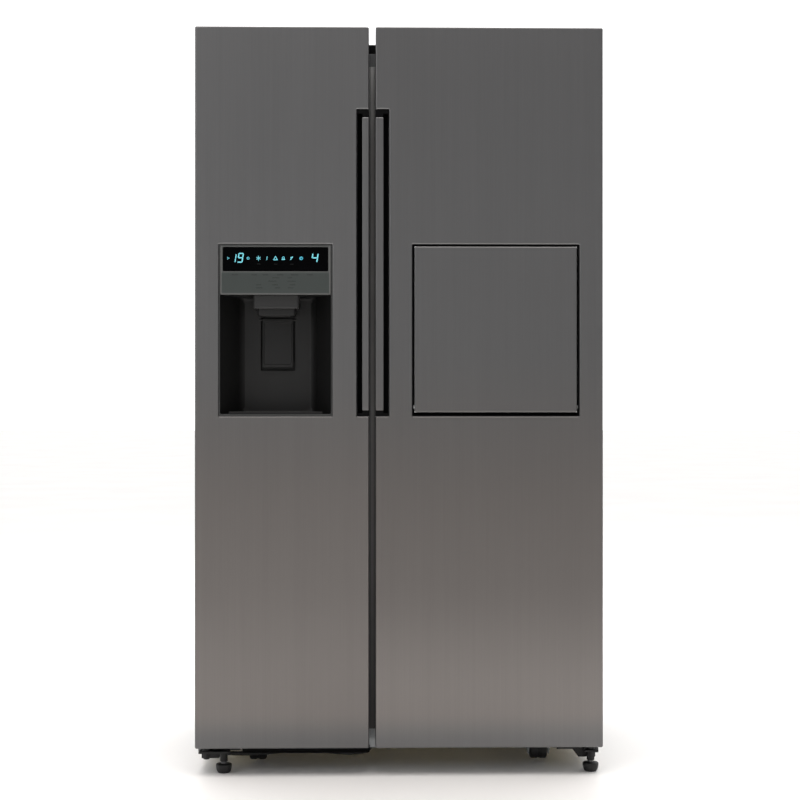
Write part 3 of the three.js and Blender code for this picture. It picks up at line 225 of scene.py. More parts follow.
def soft_lamp(name, at, towards, size, power, tint=(1.0, 1.0, 1.0)):
    """A wide rectangular lamp of that many watts, turned towards a point."""
    lamp = bpy.data.lights.new(name, "AREA")
    lamp.shape = "RECTANGLE"
    lamp.size, lamp.size_y = size
    lamp.energy = power
    lamp.color = tint
    holder = bpy.data.objects.new(name, lamp)
    scene.collection.objects.link(holder)
    holder.location = at
    holder.rotation_euler = (Vector(towards) - Vector(at)).to_track_quat("-Z", "Y").to_euler()


soft_lamp("overhead", (0.0, -1.6, 4.2), (0.0, -1.3, 0.0), (4.0, 3.0), 118, (1.0, 0.955, 0.925))
soft_lamp("front_left", (-3.2, -3.6, 2.6), (0.0, 0.0, 1.0), (1.8, 2.4), 26)
soft_lamp("behind", (0.0, 3.6, 3.4), (0.0, 0.6, 0.6), (3.5, 2.0), 40)

camera = bpy.data.objects.new("camera", bpy.data.cameras.new("camera"))
scene.collection.objects.link(camera)
camera.location = (CAMERA_X, cad_low.y - CAMERA_DISTANCE, EYE_HEIGHT)
turned_right = math.atan((CAMERA_AIM - CAMERA_X) / CAMERA_DISTANCE)
camera.rotation_euler = (math.radians(90), 0, -turned_right)
camera.data.lens = LENS
camera.data.clip_end = 100.0
scene.camera = camera

# ---------------------------------------------------------------------------------------
# The cabinet: a folded steel case with rolled front edges, painted a dark silver with a
# faint orange-peel, and the cream foam that fills it. The case is bent from one sheet,
# so its long edges are round.

SAME_POINT = 0.00002  # in metres, corners of a CAD node this close are one
FLAT_WITHIN = 1.0  # degrees between faces that are taken as one flat face


def soften(piece, width, segments, angle):
    """Rounds the edges of a CAD node by that many millimetres with modifiers alone."""
    piece.modifiers.new("weld", "WELD").merge_threshold = SAME_POINT
    flat = piece.modifiers.new("flat", "DECIMATE")
    flat.decimate_type = "DISSOLVE"
    flat.angle_limit = math.radians(FLAT_WITHIN)
    rounding = piece.modifiers.new("rounding", "BEVEL")
    rounding.width = width * MM
    rounding.segments = segments
    rounding.limit_method = "ANGLE"
    rounding.angle_limit = math.radians(angle)
    rounding.use_clamp_overlap = False
    piece.modifiers.new("even shading", "WEIGHTED_NORMAL").keep_sharp = True


def dress(node, material, width=0.0, segments=2, angle=40):
    """A CAD node in a new finish, with its edges rounded where a width is given."""
    piece = nodes[node]
    piece.data.materials.clear()
    piece.data.materials.append(material)
    if width:
        soften(piece, width, segments, angle)
    return piece


def case_finish(wire):
    peel = wire.place().noise(420.0, detail=2.0)
    cloud = wire.place().noise(3.0, detail=2.0)
    tone = cloud.between(0.3, 0.7).blend(colour(92, 93, 94), colour(98, 99, 100))
    return {"Base Color": tone, "Roughness": 0.36 + 0.12 * peel, "Normal": peel.bump(0.0002, 0.3)}


def foam_finish(wire):
    cells = wire.place().noise(260.0, detail=4.0)
    tone = cells.blend(colour(206, 186, 128), colour(230, 214, 164))
    return {"Base Color": tone, "Normal": cells.bump(0.001, 0.8)}


case_paint = finish("case paint", case_finish, metallic=0.25)
foam = finish("cream foam", foam_finish, roughness=0.95)
dress("outer_case", case_paint, 0.45)
dress("cabinet_foam", foam)

# ---------------------------------------------------------------------------------------
# The centre rail: a painted steel strip on the front of the partition, which shows as a
# grey line in the gap between the doors. Both doors' seals meet it.

gap_middle = (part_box("freezer_door_skin")[1].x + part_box("fridge_door_skin")[0].x) / 2 / MM


def rail_finish(wire):
    """Painted light and shade: pale down the middle of the gap and towards the top, where light falls in,
    with painted shade at the gap's sides and low down.
    """
    x, _, z = wire.place().split()
    grain = wire.place().stretched(1.0, 1.0, 0.01).noise(500.0, detail=2.0)
    # Painted shade at the two sides of the gap, away from its middle.
    gap_side_shade = (x - gap_middle * MM).size().between(2.4 * MM, 4.2 * MM)
    # Painted light: brighter towards the top of the rail, darker low down.
    height = z.between(-0.1, 0.9) * 0.55 + z.between(1.45, 1.66) * 0.45
    shade = (height * (1 - gap_side_shade * 0.5)).blend(colour(52, 50, 50), colour(196, 196, 195))
    return {"Base Color": shade, "Roughness": 0.35 + 0.1 * grain}


rail_steel = finish("rail steel", rail_finish)
dress("centre_rail", rail_steel, 0.8)

# ---------------------------------------------------------------------------------------
# The rear panel: thin zinc-coated sheet behind the foam, pressed with shallow upright
# ribs that stiffen it and screwed to the case along its edges with small pan heads.


def limits(node):
    """The lowest and highest corner of a CAD node, in millimetres."""
    low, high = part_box(node)
    return low / MM, high / MM


def outline(corners, inset=0.0, steps=4):
    """Points round a shape of (across, up, radius) corners, taken anticlockwise and moved inwards."""
    points = []
    for i, (x, z, radius) in enumerate(corners):
        here = Vector((x, z))
        before = (here - Vector(corners[i - 1][:2])).normalized()
        after = (Vector(corners[(i + 1) % len(corners)][:2]) - here).normalized()
        inward = Vector((-before.y, before.x))
        turn = math.atan2(before.cross(after), before.dot(after))
        if abs(turn) < 1e-4:
            points.append(here + inward * inset)
            continue
        bend = math.copysign(1, turn)
        centre = here - before * radius * math.tan(abs(turn) / 2) + inward * radius * bend
        reach = radius - inset * bend
        for k in range(steps + 1):
            angle = turn * k / steps
            spoke = Vector((math.cos(angle) * -inward.x + math.sin(angle) * inward.y,
                            math.cos(angle) * -inward.y - math.sin(angle) * inward.x))
            points.append(centre + spoke * reach * bend)
    return points


def corners_of(x0, x1, z0, z1, radius):
    return [(x0, z0, radius), (x1, z0, radius), (x1, z1, radius), (x0, z1, radius)]


def upright(points, y):
    """Points of (across, up) at one depth."""
    return [(p[0], y, p[1]) for p in points]


def level(points, z):
    """Points of (across, deep) at one height."""
    return [(p[0], p[1], z) for p in points]


def loft(bm, rings, first=False, last=False, wrap=False, skip=None):
    """Skins closed rings of points in turn, caps the first or last, and returns the vertices."""
    rows = [[bm.verts.new(point) for point in ring] for ring in rings]
    count = len(rows[0])
    pairs = list(zip(rows, rows[1:])) + ([(rows[-1], rows[0])] if wrap else [])
    for lower, upper in pairs:
        for i in range(count):
            j = (i + 1) % count
            if not (skip and skip((lower[i].co + upper[j].co) / 2)):
                bm.faces.new((lower[i], lower[j], upper[j], upper[i]))
    if first:
        bm.faces.new(rows[0])
    if last:
        bm.faces.new(rows[-1])
    return rows


def fill(bm, *loops):
    """Fills the flat region between an outer loop of vertices and the loops inside it."""
    edges = []
    for loop in loops:
        for a, b in zip(loop, loop[1:] + loop[:1]):
            edges.append(bm.edges.get((a, b)) or bm.edges.new((a, b)))
    bmesh.ops.triangle_fill(bm, use_beauty=True, edges=edges)


def roll(radius, steps=4, inward=True):
    """(inset, depth) pairs of a quarter-round bend that ends square to the face."""
    turns = [math.pi / 2 * k / steps for k in range(steps + 1)]
    sign = 1 if inward else -1
    return [(sign * radius * (1 - math.sin(a)), radius * (1 - math.cos(a))) for a in turns]


def sheet_metal(piece, thickness):
    """Gives a surface the thickness of its sheet and keeps its flat faces flat when lit."""
    walls = piece.modifiers.new("sheet", "SOLIDIFY")
    walls.thickness = thickness * MM
    walls.offset = -1
    piece.modifiers.new("even shading", "WEIGHTED_NORMAL").keep_sharp = True


def mount(piece, body, instead_of=()):
    """The piece moves with a body and stands for CAD nodes, which it hides."""
    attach(piece, body)
    if instead_of:
        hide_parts(*instead_of)


def zinc_finish(wire):
    spangle = wire.add("TexVoronoi", {"feature": "F1"}, {"Vector": wire.place(), "Scale": 130.0}, out=1)
    flake = spangle.split()[0]
    grain = wire.place().noise(300.0, detail=3.0)
    return {"Base Color": flake.blend(colour(140, 143, 145), colour(152, 154, 156)),
            "Roughness": 0.40 + 0.08 * flake + 0.06 * grain}


zinc = finish("zinc coated sheet", zinc_finish, metallic=0.75)


def turned(bm, profile, at=(0, 0, 0), axis=(0, 0, 1), sides=24, first=True, last=True):
    """A turned shape from (radius, height) pairs, standing at a point along an axis."""
    turn = Vector((0, 0, 1)).rotation_difference(Vector(axis)).to_matrix()
    rings = []
    for radius, height in profile:
        ring = []
        for k in range(sides):
            angle = 2 * math.pi * k / sides
            spoke = Vector((radius * math.cos(angle), radius * math.sin(angle), height))
            ring.append(turn @ spoke + Vector(at))
        rings.append(ring)
    return loft(bm, rings, first=first, last=last)


def screw_head(bm, at, axis, radius=4.2):
    """A pan head with a cross recess pressed into it."""
    head = [(1, 0), (1, 0.3), (0.84, 0.46), (0.5, 0.54)]
    turned(bm, [(out * radius, up * radius) for out, up in head], at, axis, sides=20, first=False)
    turn = Vector((0, 0, 1)).rotation_difference(Vector(axis)).to_matrix()
    for half_x, half_y in ((0.42, 0.1), (0.1, 0.42)):
        slot = corners_of(-radius * half_x, radius * half_x, -radius * half_y, radius * half_y, 0.15)
        rings = [[turn @ Vector(p) + Vector(at) for p in level(outline(slot, steps=2), radius * up)]
                 for up in (0.5, 0.56)]
        loft(bm, rings, last=True)


RIB_PITCH = 104
RIB_HALF = 13
RIB_DEPTH = 3.5
RIB_END = 70  # from the sheet's lower and upper edges
EDGE_CLEAR = 90  # across the sheet, what the ribs leave free at its two sides
SIDE_SCREWS = 7
TOP_SCREWS = 5
panel_low, panel_high = limits("rear_panel")
panel_width = panel_high.x - panel_low.x
sheet_back = panel_high.y - 0.1

bm = bmesh.new()
sheet_edge = corners_of(panel_low.x, panel_high.x, panel_low.z, panel_high.z, 1.0)
border = [bm.verts.new(point) for point in upright(outline(sheet_edge, steps=2), sheet_back)]
loops = [border]
count = int((panel_width - EDGE_CLEAR) / RIB_PITCH)
for i in range(count + 1):
    x = (i - count / 2) * RIB_PITCH
    rib_ends = (panel_low.z + RIB_END, panel_high.z - RIB_END)
    rib = corners_of(x - RIB_HALF, x + RIB_HALF, *rib_ends, RIB_HALF - 0.5)
    rib_rows = loft(bm, [
        upright(outline(rib), sheet_back),
        upright(outline(rib, 1.6), sheet_back + 0.3),
        upright(outline(rib, 4.4), sheet_back + RIB_DEPTH - 0.3),
        upright(outline(rib, 6), sheet_back + RIB_DEPTH),
    ], last=True)
    loops.append(rib_rows[0])
fill(bm, *loops)
bmesh.ops.recalc_face_normals(bm, faces=bm.faces)
rear = show("rear_sheet", bm, zinc)
sheet_metal(rear, 0.5)
mount(rear, "cabinet", ["rear_panel"])

bm = bmesh.new()
side_span = panel_high.z - panel_low.z - 70
for k in range(SIDE_SCREWS):
    z = panel_low.z + 40 + k * side_span / (SIDE_SCREWS - 1)
    for x in (panel_low.x + 12, panel_high.x - 12):
        screw_head(bm, (x, sheet_back, z), (0, 1, 0))
for k in range(1, TOP_SCREWS + 1):
    x = panel_low.x + k * panel_width / (TOP_SCREWS + 1)
    screw_head(bm, (x, sheet_back, panel_high.z - 14), (0, 1, 0))
bmesh.ops.recalc_face_normals(bm, faces=bm.faces)
mount(show("rear_screws", bm, zinc), "cabinet")

# ---------------------------------------------------------------------------------------
# The two liners, drawn in one piece from glossy white plastic: round corners inside, a
# flat lip at the front, a step over the machine space and small ledges for the shelves.


def white_finish(wire):
    grain = wire.place().noise(900.0, detail=2.0)
    tone = wire.place().noise(4.0).blend(colour(226, 228, 228), colour(233, 235, 235))
    return {"Base Color": tone, "Roughness": 0.30 + 0.12 * grain, "Normal": grain.bump(0.0001, 0.2)}


white_plastic = finish("white liner plastic", white_finish)
LINER_WALL = 2.5
LINER_ROUND = 13
LINER_SIDES = {"freezer": (-405.5, -97.0), "fridge": (-28.0, 405.5)}  # inner faces
LINER_FLOOR = 152.5
STEP_Y = 102.5  # the step over the machine space
STEP_Z = 347.5
LEDGE_REACH = 7
LEDGE_HEIGHT = 5
LEDGE_START = 16  # behind the front of the freezer's shelf
SHELF_RAIL = 8.5  # from the foot of a shelf's rails up to the ledge it rests on
liner_roof = limits("outer_case")[1].z - 60 - LINER_WALL


def formed_liner(name, ledge_tops):
    """A liner open at the front, with its lip and the ledges along its two sides."""
    low, high = limits(f"{name}_liner")
    inner = LINER_SIDES[name]
    back = high.y - LINER_WALL
    side = [(low.y, LINER_FLOOR), (STEP_Y, LINER_FLOOR), (STEP_Y, STEP_Z),
            (back, STEP_Z), (back, liner_roof), (low.y, liner_roof)]
    bm = bmesh.new()
    ends = [[bm.verts.new((x, y, z)) for y, z in side] for x in inner]
    for end in ends:
        bm.faces.new(end)
    for i in range(len(side)):
        j = (i + 1) % len(side)
        bm.faces.new((ends[0][i], ends[0][j], ends[1][j], ends[1][i]))

    def at_mouth():
        return [f for f in bm.faces if all(abs(v.co.y - low.y) < 0.1 for v in f.verts)]

    keep = set(at_mouth()[0].edges)
    bmesh.ops.bevel(bm, geom=[e for e in bm.edges if e not in keep], offset=LINER_ROUND,
                    segments=5, affect="EDGES", profile=0.5)
    for face in at_mouth():
        bm.faces.remove(face)
    rim = [e for e in bm.edges if len(e.link_faces) == 1]
    loop = [rim[0].verts[0]]
    while len(loop) < len(rim):
        edge = next(e for e in loop[-1].link_edges if e in rim and e.other_vert(loop[-1]) not in loop)
        loop.append(edge.other_vert(loop[-1]))
    lip = outline(corners_of(low.x, high.x, low.z, high.z, 2.0))
    edge_rows = loft(bm, [upright(lip, low.y + 2.6), upright(lip, low.y)])
    fill(bm, edge_rows[-1], loop)
    bmesh.ops.recalc_face_normals(bm, faces=bm.faces)
    shell = show(f"{name}_formed_liner", bm, white_plastic)
    shell.modifiers.new("even shading", "WEIGHTED_NORMAL").keep_sharp = True
    mount(shell, "cabinet", [f"{name}_liner"])

    ledge_front = limits("freezer_shelf")[0].y + LEDGE_START
    ledge_back = STEP_Y - 2
    bm = bmesh.new()
    for top in ledge_tops:
        for x0, x1 in ((inner[0] - 0.5, inner[0] + LEDGE_REACH), (inner[1] - LEDGE_REACH, inner[1] + 0.5)):
            shape = corners_of(x0, x1, top - LEDGE_HEIGHT, top, 1.8)
            loft(bm, [
                upright(outline(shape, 1.4), ledge_front),
                upright(outline(shape), ledge_front + 1.6),
                upright(outline(shape), ledge_back - 1.6),
                upright(outline(shape, 1.4), ledge_back),
            ], first=True, last=True)
    bmesh.ops.recalc_face_normals(bm, faces=bm.faces)
    mount(show(f"{name}_ledges", bm, white_plastic), "cabinet")


def ledge_of(shelf):
    return limits(shelf)[0].z + SHELF_RAIL


runner = limits("freezer_drawer_upper")[0].z - 0.5
formed_liner("freezer", [runner, ledge_of("freezer_shelf")])
formed_liner("fridge", [runner, ledge_of("crisper_cover"),
                        ledge_of("fridge_shelf_lower"), ledge_of("fridge_shelf_upper")])

# ---------------------------------------------------------------------------------------
# A moulded white air duct runs up the back wall of the fridge, with four pairs of vents.
# A ribbed lamp cover sits in the ceiling of each compartment.


def lamp_finish(wire):
    rib = (wire.place().split()[0] * 900.0).wave().between(-1, 1)
    return {"Base Color": rib.blend(colour(232, 236, 236), colour(244, 247, 247)),
            "Roughness": 0.2 + 0.1 * rib}


lamp_cover = finish("ribbed lamp cover", lamp_finish)
liner_back = limits("fridge_liner")[1].y - LINER_WALL
duct_middle = sum(LINER_SIDES["fridge"]) / 2
DUCT_HALF = 75
DUCT_FOOT = 560
DUCT_TOP = 1560
DUCT_DEPTH = 3.2
VENT_HEIGHTS = (700, 960, 1230, 1480)
VENT_FROM_MIDDLE = 38
VENT_HALF = 22
bm = bmesh.new()
duct = corners_of(duct_middle - DUCT_HALF, duct_middle + DUCT_HALF, DUCT_FOOT, DUCT_TOP, 10)
duct_rows = loft(bm, [
    upright(outline(duct), liner_back),
    upright(outline(duct), liner_back - 0.8),
    upright(outline(duct, 3), liner_back - 2.6),
    upright(outline(duct, 9), liner_back - DUCT_DEPTH),
])
vents = []
for z in VENT_HEIGHTS:
    for side in (-1, 1):
        vent_x = duct_middle + side * VENT_FROM_MIDDLE
        vent = corners_of(vent_x - VENT_HALF, vent_x + VENT_HALF, z - 7, z + 7, 6.5)
        rows = loft(bm, [
            upright(outline(vent), liner_back - DUCT_DEPTH),
            upright(outline(vent, 1), liner_back - 2.4),
            upright(outline(vent, 2), liner_back - 0.3),
        ], last=True)
        vents.append(rows[0])
fill(bm, duct_rows[-1], *vents)
bmesh.ops.recalc_face_normals(bm, faces=bm.faces)
mount(show("air_duct", bm, white_plastic), "cabinet")

LAMP_LEFT_ENDS = (-330, 110)
LAMP_LENGTH = 160
LAMP_FRONT = -190
LAMP_BACK = -120
bm = bmesh.new()
for x in LAMP_LEFT_ENDS:
    lens = corners_of(x, x + LAMP_LENGTH, LAMP_FRONT, LAMP_BACK, 12)
    loft(bm, [
        level(outline(lens), liner_roof),
        level(outline(lens), liner_roof - 4),
        level(outline(lens, 2), liner_roof - 8),
        level(outline(lens, 8), liner_roof - 10),
    ], last=True)
bmesh.ops.recalc_face_normals(bm, faces=bm.faces)
mount(show("lamp_covers", bm, lamp_cover), "cabinet")

# ---------------------------------------------------------------------------------------
# The base: a pressed steel tray and rails under the case. It carries four nylon rollers
# on pins, each turned with a round edge, a groove and a raised hub.


def nylon_finish(wire):
    grain = wire.place().noise(800.0, detail=3.0)
    dust = wire.place().noise(60.0, detail=2.0).between(0.45, 0.75)
    return {"Base Color": dust.blend(colour(13, 13, 14), colour(26, 26, 26)),
            "Roughness": 0.45 + 0.2 * grain, "Normal": grain.bump(0.0002, 0.4)}


black_nylon = finish("black nylon", nylon_finish)
WHEEL_BORE = 4.4
dress("base_frame", zinc, 0.5)
for end in ("front", "rear"):
    for side in ("left", "right"):
        low, high = limits(f"{end}_roller_{side}")
        centre = (low + high) / 2
        half = (high.x - low.x) / 2
        rim = (high.z - low.z) / 2
        hub_and_side = [(WHEEL_BORE, -half), (8.5, -half), (9.5, -half + 0.8), (9.5, -half + 2),
                        (16, -half + 2.4), (rim - 4.5, -half + 1), (rim - 2, -half + 2.2),
                        (rim - 0.5, -half + 4.4), (rim, -half + 7), (rim, -4)]
        groove = [(rim - 1.2, -3), (rim - 1.2, 3)]
        other_side = [(radius, -height) for radius, height in reversed(hub_and_side)]
        bm = bmesh.new()
        profile = hub_and_side + groove + other_side
        turned(bm, profile, centre, (1, 0, 0), sides=40, first=False, last=False)
        bore = [(WHEEL_BORE, half), (WHEEL_BORE, -half)]
        turned(bm, bore, centre, (1, 0, 0), sides=40, first=False, last=False)
        bmesh.ops.remove_doubles(bm, verts=bm.verts, dist=0.001)
        bmesh.ops.recalc_face_normals(bm, faces=bm.faces)
        wheel = show(f"{end}_wheel_{side}", bm, black_nylon)
        mount(wheel, f"{end}_roller_{side}", [f"{end}_roller_{side}"])

# ---------------------------------------------------------------------------------------
# The levelling feet: a hard rubber bowl moulded on a rolled thread, with a hexagon for a
# spanner. Each turns in a boss of the lower hinge bracket.

THREAD_PITCH = 1.25
THREAD_ROOT = 3.4
THREAD_CREST = 4.0


def stem_finish(wire):
    grain = wire.place().noise(500.0, detail=3.0)
    return {"Base Color": grain.blend(colour(96, 97, 98), colour(128, 129, 130)),
            "Roughness": 0.35 + 0.2 * grain}


stem_steel = finish("threaded steel", stem_finish, metallic=0.8)
for side in ("left", "right"):
    low, high = limits(f"levelling_foot_{side}")
    x, y = (low.x + high.x) / 2, (low.y + high.y) / 2
    radius = (high.x - low.x) / 2
    bm = bmesh.new()
    bowl_profile = [(radius - 6, 0), (radius - 4.4, 0.9), (radius - 2.4, 3.6), (radius - 1, 8),
                    (radius - 0.2, 13), (radius, 17.5), (radius - 0.3, 19), (radius - 1.3, 20.1),
                    (radius - 3, 20.6), (7.5, 20.8)]
    turned(bm, bowl_profile, (x, y, 0), sides=48)
    bmesh.ops.recalc_face_normals(bm, faces=bm.faces)
    bowl = show(f"foot_bowl_{side}", bm, black_nylon, sharp=30)
    mount(bowl, f"levelling_foot_{side}", [f"levelling_foot_{side}"])
    bm = bmesh.new()
    turned(bm, [(6.0, 20.6), (6.9, 21.1), (6.9, 25.2), (6.0, 25.8)], (x, y, 0), sides=6)
    thread = []
    z = 25.6
    while z < high.z - 1.2:
        thread += [(THREAD_ROOT, z), (THREAD_CREST, z + THREAD_PITCH * 0.35),
                   (THREAD_CREST, z + THREAD_PITCH * 0.6)]
        z += THREAD_PITCH
    turned(bm, thread + [(3.2, high.z)], (x, y, 0), sides=20)
    bmesh.ops.recalc_face_normals(bm, faces=bm.faces)
    mount(show(f"foot_stem_{side}", bm, stem_steel, sharp=30), f"levelling_foot_{side}")

# ---------------------------------------------------------------------------------------
# The hinges: stamped black brackets under the doors, each held by two hexagon screws, and
# zinc arms on top that disappear under a black strip with round edges.


def bracket_finish(wire):
    chips = wire.place().noise(340.0, detail=3.0)
    return {"Base Color": chips.between(0.64, 0.74).blend(colour(10, 10, 11), colour(34, 34, 35)),
            "Roughness": 0.36 + 0.2 * chips, "Normal": chips.bump(0.0002, 0.3)}


black_paint = finish("black bracket paint", bracket_finish, metallic=0.3)


def black_finish(wire):
    grain = wire.place().noise(1500.0, detail=3.0)
    tone = wire.place().noise(5.0).blend(colour(7, 7, 8), colour(11, 11, 12))
    return {"Base Color": tone, "Roughness": 0.42 + 0.18 * grain, "Normal": grain.bump(0.0002, 0.35)}


black_plastic = finish("black moulded plastic", black_finish, specular_ior_level=0.06)
SCREW_HEIGHT = 57.5
SCREW_PLACES = (12, 34)  # from the bracket's inner end
for side, sign in (("left", -1), ("right", 1)):
    dress(f"upper_hinge_{side}", zinc, 0.5)
    dress(f"lower_hinge_{side}", black_paint, 0.7)
    low, high = limits(f"lower_hinge_{side}")
    face = limits("outer_case")[0].y - 4
    inner = high.x if side == "left" else low.x
    bm = bmesh.new()
    for distance in SCREW_PLACES:
        at = (inner + sign * distance, face, SCREW_HEIGHT)
        turned(bm, [(6.4, 0), (6.4, 0.8), (5.2, 0.9)], at, (0, -1, 0), sides=24)
        turned(bm, [(4.6, 0.8), (4.6, 3.4), (4.0, 4.0)], at, (0, -1, 0), sides=6)
    bmesh.ops.recalc_face_normals(bm, faces=bm.faces)
    mount(show(f"bracket_screws_{side}", bm, stem_steel, sharp=30), "cabinet")

dress("top_cover", black_plastic, 2.2, segments=4)
low, high = limits("top_cover")
bm = bmesh.new()
for share in (0.04, 0.35, 0.65, 0.96):
    screw_head(bm, (low.x + share * (high.x - low.x), high.y - 28, high.z - 0.2), (0, 0, 1), 4.0)
bmesh.ops.recalc_face_normals(bm, faces=bm.faces)
mount(show("cover_screws", bm, stem_steel, sharp=30), "cabinet")

# ---------------------------------------------------------------------------------------
# The machine space: a welded steel compressor on rubber feet, a black wire-and-fin
# condenser and its fan. The cover is a folded sheet with louvres and a gland for the cord.


def enamel_finish(wire):
    peel = wire.place().noise(380.0, detail=2.0)
    return {"Base Color": peel.blend(colour(14, 14, 15), colour(24, 24, 25)),
            "Roughness": 0.22 + 0.15 * peel, "Normal": peel.bump(0.0003, 0.4)}


black_enamel = finish("black enamel", enamel_finish, metallic=0.2)
low, high = limits("compressor")
x, y = (low.x + high.x) / 2, (low.y + high.y) / 2
bm = bmesh.new()
lower_half = [(30, 13), (52, 16), (66, 26), (72, 42), (72, 84)]
welded_lip = [(73.4, 85), (73.4, 91)]
upper_half = [(72, 92), (72, 118), (69, 132), (61, 146), (48, 156), (28, 162), (8, 164)]
turned(bm, lower_half + welded_lip + upper_half, (x, y, low.z), sides=56)
plate = corners_of(x - 95, x + 95, y - 62, y + 62, 16)
loft(bm, [
    level(outline(plate), low.z + 12),
    level(outline(plate), low.z + 16),
    level(outline(plate, 0.8), low.z + 17),
], first=True, last=True)
turned(bm, [(5, 158), (5, 180), (4, 181)], (x + 18, y, low.z), sides=20)
turned(bm, [(4, 158), (4, 172), (3, 173)], (x - 26, y + 14, low.z), sides=20)
terminals = corners_of(x - 30, x + 30, low.z + 60, low.z + 112, 6)
loft(bm, [
    upright(outline(terminals), y - 60),
    upright(outline(terminals), y - 78),
    upright(outline(terminals, 2), y - 80),
], last=True)
bmesh.ops.recalc_face_normals(bm, faces=bm.faces)
mount(show("compressor_shell", bm, black_enamel, sharp=30), "cabinet", ["compressor"])

rubber_foot = [(8, 0), (9, 1), (9, 4.5), (7, 6), (9, 7.5), (9, 11.5), (8, 12)]
bolt_head = [(6, 17), (6, 19), (5, 20)]
bm = bmesh.new()
for foot_x in (x - 82, x + 82):
    for foot_y in (y - 50, y + 50):
        turned(bm, rubber_foot, (foot_x, foot_y, low.z), sides=24)
        turned(bm, bolt_head, (foot_x, foot_y, low.z), sides=6)
bmesh.ops.recalc_face_normals(bm, faces=bm.faces)
mount(show("compressor_feet", bm, black_nylon, sharp=30), "cabinet")
dress("condenser_coil", black_enamel)
dress("condenser_fan", white_plastic, 0.5)

dress("machine_cover", zinc, 1.0, segments=3)
cover_low, cover_high = limits("machine_cover")
bm = bmesh.new()
for x in (cover_low.x + 10, -150, 150, cover_high.x - 10):
    for z in (cover_low.z + 12, cover_high.z - 12):
        screw_head(bm, (x, cover_high.y - 2.6, z), (0, 1, 0), 4.4)
bmesh.ops.recalc_face_normals(bm, faces=bm.faces)
mount(show("cover_fixings", bm, stem_steel, sharp=30), "cabinet")

gland = [(5.4, -9), (9, -9), (12.6, -2.6), (12.6, -1.2), (9.5, -0.2), (6.4, -0.2), (5.4, -1)]
gland_at = (cover_high.x - 50, cover_high.y - 0.1, cover_low.z + 20)
bm = bmesh.new()
turned(bm, gland, gland_at, (0, 1, 0), sides=32, first=False, last=False)
bmesh.ops.recalc_face_normals(bm, faces=bm.faces)
mount(show("cord_gland", bm, black_nylon, sharp=30), "cabinet")

# ---------------------------------------------------------------------------------------
# The evaporator stands behind a slotted white cover at the back of the freezer: bright
# aluminium fins on tubes, touched with frost.


def fin_finish(wire):
    frost = wire.place().noise(90.0, detail=4.0).between(0.5, 0.7)
    return {"Base Color": frost.blend(colour(188, 192, 195), colour(232, 236, 238)),
            "Roughness": 0.32 + 0.4 * frost}


dress("evaporator", finish("fin aluminium", fin_finish, metallic=0.8))
dress("evaporator_cover", white_plastic, 0.7)

# ---------------------------------------------------------------------------------------
# The water line: a soft black tube that comes out of the left hinge, hangs in two shallow
# loops behind the doors' lower edge and turns back under the base. A black plastic strip
# on the cabinet's lower edge behind the loops is painted shade: it darkens the gap there.


def tube_finish(wire):
    scuff = wire.place().noise(240.0, detail=3.0)
    return {"Base Color": scuff.between(0.4, 0.8).blend(colour(20, 20, 21), colour(38, 38, 39)),
            "Roughness": 0.38 + 0.2 * scuff}


soft_tube = finish("soft black tube", tube_finish)
ROUNDING_LOSS = 0.9  # what the rounding takes off the tube's radius
hose = dress("water_hose", soft_tube)
hose.modifiers.new("weld", "WELD").merge_threshold = SAME_POINT
hose_round = hose.modifiers.new("round", "SUBSURF")
hose_round.levels = 2
hose_round.render_levels = 2
swell = hose.modifiers.new("swell", "DISPLACE")
swell.strength = ROUNDING_LOSS * MM
swell.mid_level = 0

# A black strip behind the hose, standing in for the shade under the freezer door: painted shade.
CHANNEL_FOOT = 39
CHANNEL_TOP = 60
bracket_inner = limits("lower_hinge_left")[1].x
channel_front = limits("outer_case")[0].y - 4
bm = bmesh.new()
shade_strip = corners_of(bracket_inner + 4, gap_middle - 6, CHANNEL_FOOT, CHANNEL_TOP, 5)
loft(bm, [
    upright(outline(shade_strip), channel_front + 3.5),
    upright(outline(shade_strip), channel_front + 1),
    upright(outline(shade_strip, 1), channel_front),
    upright(outline(shade_strip, 4), channel_front),
    upright(outline(shade_strip, 5), channel_front + 1.2),
], first=True, last=True)
bmesh.ops.recalc_face_normals(bm, faces=bm.faces)
mount(show("painted_shade_strip", bm, black_plastic, sharp=40), "cabinet")

# ---------------------------------------------------------------------------------------
# The shelves: toughened glass panes with a ground edge, set in a white front rail with a
# rolled lip and a low rail at the back.


def pane_finish(wire):
    haze = wire.place().noise(30.0, detail=2.0)
    return {"Base Color": haze.blend(colour(214, 234, 228), colour(222, 240, 235)),
            "Roughness": 0.03 + 0.03 * haze}


def clear_finish(wire):
    grain = wire.place().noise(120.0, detail=2.0)
    return {"Base Color": grain.blend(colour(233, 239, 241), colour(240, 245, 246)),
            "Roughness": 0.07 + 0.05 * grain}


